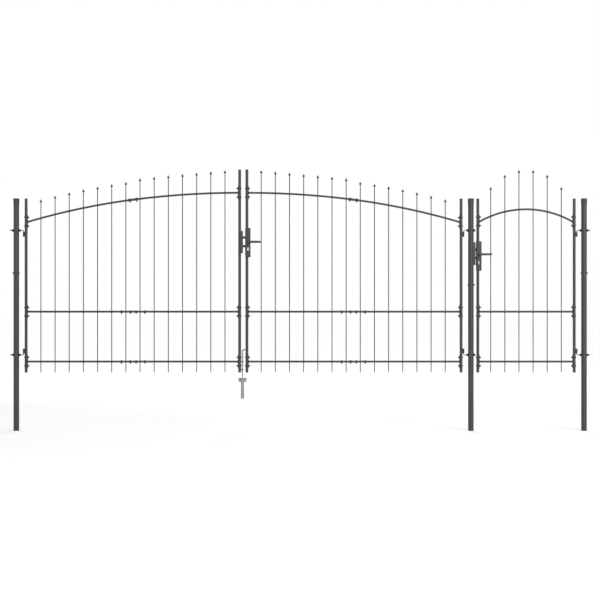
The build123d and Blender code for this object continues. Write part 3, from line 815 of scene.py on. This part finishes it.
@dataclass
class BarPanel:
    """Rails, upright bars and spear heads of a leaf or of half a leaf."""

    shop: Workshop
    node: str
    leaf: str
    start: float
    way: int
    span: Span
    bars: Sequence[float]
    heads: Sequence[float]
    arc: Arc
    stile_ends: Sequence[float]
    head: SpearHead = SpearHead()
    rail_ease: float = 0.5
    saddle_weld: float = 2.6
    bar_weld: float = 1.5
    weld_depth: float = 0.7

    def x_at(self, s: float) -> float:
        """X at a distance along the leaf."""
        return self.start + self.way * s

    def rail(self, draft: Draft, heights: Callable[[float], float], steps: int = 8) -> None:
        """Draws one round rail.

        Args:
            draft: what to draw into.
            heights: its height along the leaf.
            steps: how many lengths draw it.
        """
        s0, s1 = self.span
        places = [s0, s0 + 0.4, *(s0 + (s1 - s0) * k / steps for k in range(1, steps)), s1 - 0.4, s1]
        draft.swept([(self.x_at(s), 0.0, heights(s)) for s in places], LINES.rail_r,
                    (self.rail_ease, self.rail_ease))

    def welds(self, draft: Draft) -> None:
        """Draws the weld beads where rails meet saddles and where bars pass through rails.

        Args:
            draft: what to draw into.
        """
        r = LINES.rail_r
        for s in self.stile_ends:
            for z, lean in ((LINES.low_rail, 0.0), (LINES.mid_rail, 0.0), (self.arc.height(s), self.arc.slope(s))):
                way = (self.way * cos(lean), 0.0, sin(lean))
                draft.bead_ring(Spindle((self.x_at(s), 0, z), way), r + 0.4, self.saddle_weld, int(z + s))
        for s in self.bars:
            for z in (LINES.low_rail, LINES.mid_rail, self.arc.height(s)):
                for rise in (-1, 1):
                    spot = (self.x_at(s), 0, z + rise * (r - self.weld_depth))
                    draft.bead_ring(Spindle(spot), LINES.bar_r + 0.3, self.bar_weld, int(z + s) + rise)

    def build(self) -> None:
        """Builds the rails with their welds, and the bars with their heads."""
        rails, bars = Draft(), Draft()
        self.rail(rails, lambda s: LINES.low_rail)
        self.rail(rails, lambda s: LINES.mid_rail)
        self.rail(rails, self.arc.height, 48)
        self.welds(rails)
        r, foot = LINES.bar_r, LINES.foot
        for s, top in zip(self.bars, self.heads):
            x = self.x_at(s)
            bars.turned(Spindle((x, 0, 0)), [(r - 0.5, foot), (r, foot + 0.5), (r, (foot + top) / 2), (r, top)], 16)
            self.head.draw(bars, x, top)
        name = self.node.removesuffix("_panel")
        self.shop.place(name + "_rails", rails, Coat.POWDER, self.leaf, self.node)
        self.shop.place(name + "_bars", bars, Coat.POWDER, self.leaf)


@dataclass
class DriveLeaf:
    """One driveway leaf: two panels spliced in the middle."""

    shop: Workshop
    leaf: str
    start: float
    way: int
    width: float
    first_bar: float
    pitch: float = 122.0
    per_panel: int = 7
    split: float = 923.0
    joint: float = 923.0
    arch_top: float = 2049.5
    inner_r: float = 7130.0
    outer_r: float = 5900.0
    outer_head_over: float = 144.5
    inner_head_low: float = 2157.5
    inner_head_high: float = 2226.0
    inner_head_bow: float = 3.0
    splice_bolts: tuple[float, float] = (24.5, 101.0)
    arch_bolt: float = 29.0
    sleeve_r: float = 10.65
    sleeve_half: float = 43.0
    bolt: DomeBolt = DomeBolt(end=11.0)

    def __post_init__(self) -> None:
        """Finds the inner arc, level at the meeting stile, and the outer arc that runs on from it."""
        self.inner = Arc(self.width, self.arch_top - self.inner_r, self.inner_r)
        lean = asin((self.width - self.split) / self.inner_r)
        centre_z = self.inner.height(self.split) - self.outer_r * cos(lean)
        self.outer = Arc(self.split + self.outer_r * sin(lean), centre_z, self.outer_r)

    def head_height(self, index: int) -> float:
        """Height of a spear head.

        Args:
            index: the bar's number from the hinge stile, from 0.

        Returns:
            The height of the head's widest part.
        """
        if index < self.per_panel:
            return self.outer.height(self.first_bar + self.pitch * index) + self.outer_head_over
        share = (index - self.per_panel) / (self.per_panel - 1)
        line = self.inner_head_low + (self.inner_head_high - self.inner_head_low) * share
        return line + 4 * self.inner_head_bow * share * (1 - share)

    def splices(self) -> None:
        """Builds the bolts of each spliced rail, and the short outer sleeve that joins the arch's two halves."""
        bolts, sleeve = Draft(), Draft()
        r = LINES.rail_r - SUNK
        for z in (LINES.low_rail, LINES.mid_rail):
            for off in self.splice_bolts:
                for side in (-1, 1):
                    x = self.start + self.way * (self.joint + side * off)
                    self.bolt.draw(bolts, (x, 0, z + r), (0, 0, -1), 2 * r)
        reach = self.sleeve_r - SUNK
        for side, arc in ((-1, self.outer), (1, self.inner)):
            s = self.joint + side * self.arch_bolt
            lean = arc.slope(s)
            way = (self.way * sin(lean), 0.0, -cos(lean))
            seat = Vector((self.start + self.way * s, 0, arc.height(s))) - Vector(way) * reach
            self.bolt.draw(bolts, tuple(seat), way, 2 * reach)
        half, path = self.sleeve_half, []
        for off in (-half, 0.6 - half, *[half * k / 4 for k in range(-3, 4)], half - 0.6, half):
            s = self.joint + off
            path.append((self.start + self.way * s, 0.0, (self.inner if s > self.split else self.outer).height(s)))
        sleeve.swept(path, self.sleeve_r, (0.6, 0.6), 28)
        self.shop.place(self.leaf + "_splice_bolts", bolts, Coat.BLACK_ZINC, self.leaf)
        self.shop.place(self.leaf + "_arch_sleeve", sleeve, Coat.POWDER, self.leaf)

    def build(self) -> None:
        """Builds both panels, the saddles, the splices and the stiles."""
        reach, far = LINES.saddle_r, self.width - LINES.saddle_r
        side = self.leaf.removesuffix("_gate")
        for half, arc, span, end, first in (("outer", self.outer, (reach, self.joint), reach, 0),
                                            ("inner", self.inner, (self.joint, far), far, self.per_panel)):
            order = range(first, first + self.per_panel)
            bars = [self.first_bar + self.pitch * k for k in order]
            BarPanel(self.shop, f"{side}_{half}_panel", self.leaf, self.start, self.way, span, bars,
                     [self.head_height(k) for k in order], arc, [end]).build()
        meet_x = self.start + self.way * self.width
        rails = (LINES.low_rail, LINES.mid_rail)
        hinge = [(self.start, self.way, z) for z in (*rails, self.outer.height(ARCH_SEAT))]
        meet = [(meet_x, -self.way, z) for z in (*rails, self.inner.height(self.width - ARCH_SEAT))]
        Saddles(self.shop, self.leaf, hinge + meet).build()
        self.splices()
        Stiles(self.shop, self.leaf, [(self.start, LINES.stile_top), (meet_x, LINES.meeting_top)],
               meet_x if self.leaf == "right_gate" else None, DRIVE_LOCK_SPAN).build()


@dataclass
class WalkGate:
    """The walk gate between its two stiles."""

    shop: Workshop
    leaf: str = "walk_gate"
    pitch: float = 121.7
    count: int = 6
    arch_top: float = 1907.0
    arch_r: float = 806.6
    head_top: float = 2234.0
    head_r: float = 380.0

    def build(self) -> None:
        """Builds the panel, the saddles and the stiles."""
        width, reach, start = LINES.walk_leaf, LINES.saddle_r, LINES.latch_offset
        arc = Arc(width / 2, self.arch_top - self.arch_r, self.arch_r)
        crown = Arc(width / 2, self.head_top - self.head_r, self.head_r)
        first = (width - self.pitch * (self.count - 1)) / 2
        bars = [first + self.pitch * k for k in range(self.count)]
        BarPanel(self.shop, "walk_gate_panel", self.leaf, start, 1, (reach, width - reach), bars,
                 [crown.height(s) for s in bars], arc, [reach, width - reach]).build()
        heights = (LINES.low_rail, LINES.mid_rail, arc.height(ARCH_SEAT))
        places = [(x, side, z) for x, side in ((start, 1), (WALK_HINGE, -1)) for z in heights]
        Saddles(self.shop, self.leaf, places).build()
        tops = [(start, LINES.stile_top), (WALK_HINGE, LINES.stile_top)]
        Stiles(self.shop, self.leaf, tops, start, WALK_LOCK_SPAN).build()


# Locks
@dataclass
class BevelledBlock:
    """The outline shared by lock cases and keepers: bevelled towards the right, with its ends cut back."""

    x0: float
    x1: float
    thickness: float
    low: float
    high: float
    bevel: tuple[float, float]
    round_r: float = 0.0
    taper: tuple[float, float] = (0.0, 1.0)
    end_cut: float = 3.5
    ease: float = 1.6

    def plan(self) -> list[tuple[float, float]]:
        """Sets out its plan.

        Returns:
            Points of X and Y, going round once.
        """
        half, r, ease = self.thickness / 2, self.round_r, self.ease
        along, across = self.bevel
        upper = [(self.x1, half - across - ease), (self.x1 - ease, half - across + ease * 0.5),
                 (self.x1 - along + ease, half - ease * 0.4), (self.x1 - along - ease, half)]
        turns = [pi / 12 * k for k in range(7)] if r else [0.0]
        upper += [(self.x0 + r - r * sin(t), half - r + r * cos(t)) for t in turns]
        return upper + [(x, -y) for x, y in reversed(upper)]

    def ring(self, z: float) -> Ring:
        """Sets out its outline at a height.

        Args:
            z: the height.

        Returns:
            The points, with the ends' cuts and the left side's taper.
        """
        near_end = min(z - self.low, self.high - z)
        cut = self.end_cut * (1 - sin(pi / 2 * min(1.0, near_end / self.end_cut)))
        inset, run = self.taper
        left = self.x0 + inset * max(0.0, 1 - near_end / run)
        shrink = 1 - cut / (self.thickness / 2)
        return [(min(max(x, left), self.x1 - cut), y * shrink, z) for x, y in self.plan()]

    def draw(self, draft: Draft) -> None:
        """Draws the block.

        Args:
            draft: what to draw into.
        """
        rises = [self.end_cut * share for share in (0.0, 0.2, 0.45, 0.7, 1.0)]
        if self.taper[1] > self.end_cut:
            rises.append(self.taper[1])
        heights = [self.low + up for up in rises] + [self.high - up for up in reversed(rises)]
        draft.skin([self.ring(z) for z in heights])


@dataclass
class Lock:
    """A lock case on its stile, with levers on both faces, a latch and a dead bolt."""

    shop: Workshop
    name: str
    leaf: str
    stile_x: float
    keeper_x: float
    span: Span
    lever_z: float
    latch_z: float
    dead_z: float
    slot_z: float
    left: float = 15.0
    right: float = 31.0
    thickness: float = 40.0
    spindle_out: float = 9.7
    slot_out: float = 9.0
    slot_w: float = 11.5
    slot_h: float = 30.0
    bolt_h: float = 20.0
    bolt_t: float = 10.0
    bolt_fit: float = 0.3
    bolt_gap: float = 1.0
    slant: float = 3.0
    latch_deep: float = 26.0
    latch_in: float = 18.0
    dead_deep: float = 16.0
    dead_in: float = 9.0
    spindle_r: float = 4.6
    lever_out: float = 30.0
    lever_t: float = 10.0
    lever_back: float = 8.4
    lever_reach: float = 108.0
    lever_h: float = 17.0
    lever_end_h: float = 14.0

    def key_slot(self, y: float) -> Ring:
        """Sets out the key slot.

        Args:
            y: where it is cut.

        Returns:
            Its outline there.
        """
        r = self.slot_w / 2
        ring = []
        for k in range(24):
            turn = tau * (k + 0.5) / 24
            lift = (self.slot_h / 2 - r) * (1 if sin(turn) > 0 else -1)
            ring.append((self.stile_x + self.slot_out + r * cos(turn), y, self.slot_z + lift + r * sin(turn)))
        return ring

    def case(self) -> None:
        """Builds the case with its key slot and bolt pockets."""
        x0, x1 = self.stile_x - self.left, self.stile_x + self.right
        shell, hollow = Draft(), Draft()
        BevelledBlock(x0, x1, self.thickness, *self.span, bevel=(14.0, 8.0), round_r=10.0,
                      taper=(1.9, 24.0)).draw(shell)
        hollow.skin([self.key_slot(y) for y in (-self.thickness, self.thickness)])
        half_t, half_h = self.bolt_t / 2 + self.bolt_fit, self.bolt_h / 2 + self.bolt_fit
        for z, deep in ((self.latch_z, self.latch_deep), (self.dead_z, self.dead_deep)):
            hollow.block((x0 - 4, x0 + deep), (-half_t, half_t), (z - half_h, z + half_h))
        self.shop.place(self.name + "_case_shell", shell, Coat.POWDER, self.leaf, self.name + "_lock_case",
                        hollow=hollow)

    def bolts(self) -> None:
        """Builds the latch with its slanted nose and the square dead bolt."""
        face, nose = self.stile_x - self.left, self.keeper_x + self.bolt_gap
        half_t, half_h = self.bolt_t / 2, self.bolt_h / 2
        latch, dead = Draft(), Draft()
        low, high = self.latch_z - half_h, self.latch_z + half_h
        latch.skin([[(x, -half_t, low), (x, far, low), (x, far, high), (x, -half_t, high)] for x, far in
                    ((nose, half_t - self.slant), (nose + self.slant, half_t), (face + self.latch_in, half_t))])
        height = (self.dead_z - half_h, self.dead_z + half_h)
        dead.block((nose, face + self.dead_in), (-half_t, half_t), height, ease=0.6)
        for part, draft in (("latch", latch), ("dead_bolt", dead)):
            body = f"{self.name}_{part}"
            # The bolts' nearly black colour is painted shade, for the shade between lock case and keeper
            self.shop.place(body + "_bar", draft, Coat.SHADE_DARKENED_STEEL, body, body)

    def levers(self) -> None:
        """Builds both levers on their spindle. A lever's section is a soft square, which fills out from its ends."""
        draft = Draft()
        x, z, face, back = self.stile_x + self.spindle_out, self.lever_z, self.thickness / 2, self.lever_back
        out = face + self.lever_out
        neck = [(8.9, 0.0), (9.0, 0.6), (9.0, 3.0), (8.2, 4.2), (7.4, 6.0), (7.2, 12.0), (7.4, 17.0), (8.2, 22.0),
                (8.4, 25.0), (7.6, 27.5)]
        # Places along a lever, with how full its section is there
        blade = [(0.0, 0.3), (0.008, 0.62), (0.025, 0.85), (0.05, 0.97), (0.075, 1.0), (0.3, 1.0), (0.6, 1.0),
                 (0.95, 1.0), (0.972, 0.96), (0.988, 0.82), (0.997, 0.6), (1.0, 0.35)]
        turns = [tau * k / 28 for k in range(28)]
        square = [[abs(v) ** 0.45 * (1 if v > 0 else -1) for v in (cos(t), sin(t))] for t in turns]
        draft.turned(Spindle((x, -out + 4, z), (0, 1, 0)), [(self.spindle_r, 0), (self.spindle_r, 2 * out - 8)], 16)
        for side in (-1, 1):
            draft.turned(Spindle((x, side * (face + 1.0), z), (0, side, 0)), neck, 32)
            middle = side * (out - self.lever_t / 2)
            rings = []
            for share, fill in blade:
                along = x - back + (self.lever_reach + back) * share
                half_h = (self.lever_h + (self.lever_end_h - self.lever_h) * share) / 2 * fill
                half_t = self.lever_t / 2 * (0.35 + 0.65 * fill)
                rings.append([(along, middle + half_t * v, z + half_h * u) for u, v in square])
            draft.skin(rings)
        handle = self.name + "_handle"
        self.shop.place(self.name + "_levers", draft, Coat.POWDER, handle, handle)

    def build(self) -> None:
        """Builds the case, the bolts and the levers."""
        self.case()
        self.bolts()
        self.levers()


@dataclass
class Keeper:
    """The striking block that the latch and the dead bolt enter."""

    shop: Workshop
    name: str
    node: str
    body: str
    near: float
    far: float
    thickness: float
    limits: Span
    slots: tuple[float, float]
    slot_h: float = 26.0
    slot_t: float = 16.0
    deep: float = 13.7

    def build(self) -> None:
        """Builds the block with its two slots."""
        block, hollow = Draft(), Draft()
        BevelledBlock(self.near, self.far, self.thickness, *self.limits, bevel=(9.0, 6.0)).draw(block)
        half_t, half_h = self.slot_t / 2, self.slot_h / 2
        for z in self.slots:
            hollow.block((self.far - self.deep, self.far + 3), (-half_t, half_t), (z - half_h, z + half_h))
        self.shop.place(self.name, block, Coat.POWDER, self.body, self.node, hollow=hollow)


# Drop rod
@dataclass
class DropRod:
    """The galvanised drop rod, its two guides and its ground socket."""

    shop: Workshop
    x: float = LEFT_MEET + 24.5
    rod_r: float = 6.0
    short: float = 4.0
    reach: float = 24.0
    top: float = 703.0
    bend_r: float = 11.0
    guides: tuple[float, float] = (595.0, 526.0)
    guide_r: float = 10.0
    guide_h: float = 8.0
    guide_fit: float = 0.3
    guide_weld: float = 1.6
    neck_half: float = 5.5
    socket_top: float = 457.0
    socket_foot: float = 276.0
    bore_depth: float = 119.0
    head_h: float = 40.0
    head_w: float = 73.0
    stem_r: float = 15.0
    bore_r: float = 9.0
    fin_t: float = 6.0
    fin_weld: float = 1.8

    def rod(self) -> None:
        """Builds the rod with its bent handle."""
        draft = Draft()
        x, z, foot = self.x, self.top - self.rod_r, self.socket_top + self.short
        corners = [(x, 0.0, foot + 1.5), (x, 0.0, z), (x + self.reach - 1, 0.0, z)]
        path = [(x, 0.0, foot), *bent(corners, self.bend_r, 12), (x + self.reach, 0.0, z)]
        draft.swept(path, self.rod_r, (1.5, 1.0))
        self.shop.place("bent_drop_rod", draft, Coat.GALVANISED, "drop_rod", "drop_rod")

    def rings(self) -> None:
        """Builds the two guides with their necks and weld beads."""
        draft = Draft()
        bore, r, h = self.rod_r + self.guide_fit, self.guide_r, self.guide_h
        for z in self.guides:
            low = z - h / 2
            draft.collar(Spindle((self.x, 0, low)), [(bore, 0.4), (bore + 0.4, 0), (r - 0.8, 0), (r, 0.8)], h, 32)
            neck = (LEFT_MEET + 9.0, self.x - bore - 0.6)
            draft.block(neck, (-self.neck_half, self.neck_half), (low + 0.5, low + h - 0.5), ease=0.8)
            for y in (-6.2, 6.2):
                edge = LEFT_MEET + sqrt(LINES.stile_r ** 2 - y ** 2) + 0.4
                draft.bead_line((edge, y, low + 0.5), h - 1, self.guide_weld, int(z + y))
        self.shop.place("drop_rod_guides", draft, Coat.POWDER, "left_gate", "drop_rod_eyes")

    def socket(self) -> None:
        """Builds the socket tube with its side fins and weld beads."""
        draft = Draft()
        top, foot, r, bore = self.socket_top, self.socket_foot, self.stem_r, self.bore_r
        floor = top - self.bore_depth
        profile = [(bore, floor), (bore, top - 0.6), (bore + 0.6, top), (r - 0.8, top), (r, top - 0.8), (r, foot + 1),
                   (r - 1, foot), (r - 3, foot), (r - 3, foot + 12), (0.5, foot + 14), (0.5, floor)]
        draft.turned(Spindle((self.x, 0, 0)), profile, 40, True)
        half, low = self.head_w / 2, top - self.head_h
        outline = [(r - 2, top - 1), (half - 1.5, top - 1), (half, top - 2.5), (half, low + 10), (half - 1, low + 8),
                   (half - 9, low + 1), (half - 11, low), (r - 2, low)]
        for side in (-1, 1):
            draft.skin([[(self.x + side * u, y, v) for u, v in outline] for y in (-self.fin_t / 2, self.fin_t / 2)])
            for y in (-4.4, 4.4):
                edge = self.x + side * (sqrt(r ** 2 - y ** 2) + 0.4)
                draft.bead_line((edge, y, low + 2), self.head_h - 5, self.fin_weld, int(y * 10) + side)
        self.shop.place("socket_tube_and_fins", draft, Coat.GALVANISED, "posts", "ground_socket")

    def build(self) -> None:
        """Builds the rod, the guides and the socket."""
        self.rod()
        self.rings()
        self.socket()


# Studio
WHITE = (1.0, 1.0, 1.0, 1.0)


@dataclass(frozen=True)
class SoftBox:
    """A square lamp with a diffuser, aimed at the gate."""

    name: str
    place: Point
    power: float
    aim: Point = (-1.4, 0.0, 1.1)
    side: float = 4.0

    def hang(self) -> None:
        """Hangs the lamp."""
        lamp = bpy.data.lights.new(self.name, "AREA")
        lamp.shape, lamp.size, lamp.energy = "SQUARE", self.side, self.power
        hung = bpy.data.objects.new(self.name, lamp)
        hung.location = self.place
        hung.rotation_euler = (Vector(self.aim) - Vector(self.place)).to_track_quat("-Z", "Y").to_euler()
        bpy.context.scene.collection.objects.link(hung)


@dataclass
class Studio:
    """A white floor and world, soft lamps, and the camera at the photograph's viewing angle."""

    pixel_mm: float = 8.618
    picture_px: float = 600.0
    centre_mm: tuple[float, float] = (-1472.5, 1125.5)
    distance_m: float = 11.1
    sensor_mm: float = 36.0
    fill: float = 0.5
    near_glow: float = 0.22
    far_glow: float = 0.5
    near_m: float = 4.0
    far_m: float = 12.0
    floor_half_m: float = 60.0
    boxes: tuple[SoftBox, ...] = (
        SoftBox("key_box", (4.5, -8.5, 5.0), 620.0),
        SoftBox("side_box", (-8.5, -6.0, 4.0), 90.0),
        SoftBox("back_box", (-1.0, 8.0, 6.0), 260.0),
    )

    @staticmethod
    def seen_rays(tree: bpy.types.NodeTree) -> bpy.types.NodeSocket:
        """Tells the rays that see from the rays that carry light.

        Args:
            tree: the node tree.

        Returns:
            A value of 1 for camera, glossy and transmission rays, and 0 for the rest.
        """
        path = add_node(tree, "LightPath")
        mirror = add_node(tree, "Math", {"operation": "MAXIMUM"},
                          {0: path.outputs["Is Glossy Ray"], 1: path.outputs["Is Transmission Ray"]})
        return add_node(tree, "Math", {"operation": "MAXIMUM"},
                        {0: path.outputs["Is Camera Ray"], 1: mirror.outputs[0]}).outputs[0]

    def sky(self) -> None:
        """Sets a world that is seen as white and lights the object with a softer fill."""
        world = bpy.data.worlds.new("white_room")
        world.use_nodes = True
        tree = world.node_tree
        tree.nodes.clear()
        strength = add_node(tree, "MapRange", {"To Min": self.fill, "To Max": 1.0},
                            {"Value": self.seen_rays(tree)})
        light = add_node(tree, "Background", {"Color": WHITE}, {"Strength": strength.outputs["Result"]})
        add_node(tree, "OutputWorld", links={"Surface": light.outputs["Background"]})
        bpy.context.scene.world = world

    def floor(self) -> None:
        """Lays a matt white floor: it shows white, most of all far off, and keeps the object's shadow."""
        material, tree, shader = surface("matt_white_paint")
        place = add_node(tree, "TexCoord").outputs["Object"]
        # Matt paint laid on with a roller: an even white, dimpled about 4 mm from dimple to dimple
        dimple = add_node(tree, "TexNoise", {"Scale": 1 / (4 * MM)}, {"Vector": place})
        bump = add_node(tree, "Bump", {"Strength": 0.1, "Distance": 0.1 * MM},
                        {"Height": dimple.outputs["Fac"]})
        away = add_node(tree, "VectorMath", {"operation": "LENGTH"}, {0: place})
        rise = add_node(tree, "MapRange",
                        {"From Min": self.near_m, "From Max": self.far_m,
                         "To Min": self.near_glow, "To Max": self.far_glow}, {"Value": away.outputs["Value"]})
        glow = add_node(tree, "Math", {"operation": "MULTIPLY"},
                        {0: self.seen_rays(tree), 1: rise.outputs["Result"]})
        for name, value in (("Base Color", linear("#f4f4f3")), ("Roughness", 0.9), ("Specular IOR Level", 0.2),
                            ("Emission Color", WHITE)):
            shader.inputs[name].default_value = value
        tree.links.new(glow.outputs[0], shader.inputs["Emission Strength"])
        tree.links.new(bump.outputs["Normal"], shader.inputs["Normal"])
        mesh = bpy.data.meshes.new("studio_floor")
        half = self.floor_half_m
        mesh.from_pydata([(-half, -half, 0.0), (half, -half, 0.0), (half, half, 0.0), (-half, half, 0.0)], [],
                         [(0, 1, 2, 3)])
        mesh.materials.append(material)
        laid = bpy.data.objects.new("studio_floor", mesh)
        laid.location = (self.centre_mm[0] * MM, 0.0, -0.5 * MM)
        bpy.context.scene.collection.objects.link(laid)

    def camera(self) -> None:
        """Sets the camera square to the gate, with the picture's own scale on the gate's plane."""
        lens = bpy.data.cameras.new("camera")
        lens.sensor_width = self.sensor_mm
        lens.lens = self.sensor_mm * self.distance_m / (self.picture_px * self.pixel_mm * MM)
        lens.clip_end = 200.0
        eye = bpy.data.objects.new("camera", lens)
        x, z = self.centre_mm
        eye.location = (x * MM, -self.distance_m, z * MM)
        eye.rotation_euler = (pi / 2, 0.0, 0.0)
        bpy.context.scene.collection.objects.link(eye)
        bpy.context.scene.camera = eye

    def build(self) -> None:
        """Builds the studio."""
        self.sky()
        self.floor()
        self.camera()
        for box in self.boxes:
            box.hang()
        bpy.context.scene.view_settings.view_transform = "Standard"


# Putting it together
def check_lines() -> None:
    """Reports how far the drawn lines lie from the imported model's own."""
    for node, x in (("left_post", LEFT_POST), ("right_post", RIGHT_POST), ("middle_post", 0.0)):
        low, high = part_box(node)
        log.info("%s lies %.2f mm off its line", node, (low.x + high.x) / 2 / MM - x)


def main() -> None:
    """Builds the gate in order, then the studio."""
    logging.basicConfig(level=logging.INFO, format="%(name)s: %(message)s")
    shop = Workshop()
    check_lines()
    Posts(shop).build()
    clamps = Draft()
    for leaf, post_x, stile_x, stub in (("left_gate", LEFT_POST, LEFT_HINGE, 55.0),
                                        ("right_gate", 0.0, RIGHT_HINGE, 39.0),
                                        ("walk_gate", RIGHT_POST, WALK_HINGE, 55.0)):
        hinges = HookHinges(shop, leaf, post_x, stile_x, stub)
        hinges.build()
        hinges.clamps(clamps)
    shop.place("hook_bolt_nuts", clamps, Coat.BLACK_ZINC, "posts", "hook_nuts")
    DriveLeaf(shop, "left_gate", LEFT_HINGE, 1, LINES.left_leaf, 127.5).build()
    DriveLeaf(shop, "right_gate", RIGHT_HINGE, -1, LINES.right_leaf, 136.5, joint=927.6).build()
    WalkGate(shop).build()
    # Each lock's latch and dead bolt stand level with its keeper's two slots
    drive_bolts, walk_bolts = (1664.0, 1589.0), (1559.0, 1487.0)
    drive_keeper_x, walk_keeper_x = LEFT_MEET + 28.0, 38.4
    Lock(shop, "driveway", "right_gate", RIGHT_MEET, drive_keeper_x, DRIVE_LOCK_SPAN, 1627.0, *drive_bolts,
         1564.5).build()
    Lock(shop, "walk_gate", "walk_gate", LINES.latch_offset, walk_keeper_x, WALK_LOCK_SPAN, 1519.4, *walk_bolts,
         1448.5).build()
    Keeper(shop, "driveway_striker", "driveway_keeper", "left_gate", LEFT_MEET + 4.0, drive_keeper_x, 32.0,
           (1528.3, 1721.0), drive_bolts).build()
    Keeper(shop, "walk_gate_striker", "walk_gate_keeper", "posts", 14.0, walk_keeper_x, 46.0, (1426.5, 1623.5),
           walk_bolts).build()
    DropRod(shop).build()
    Studio().build()


if __name__ == "__main__":
    main()
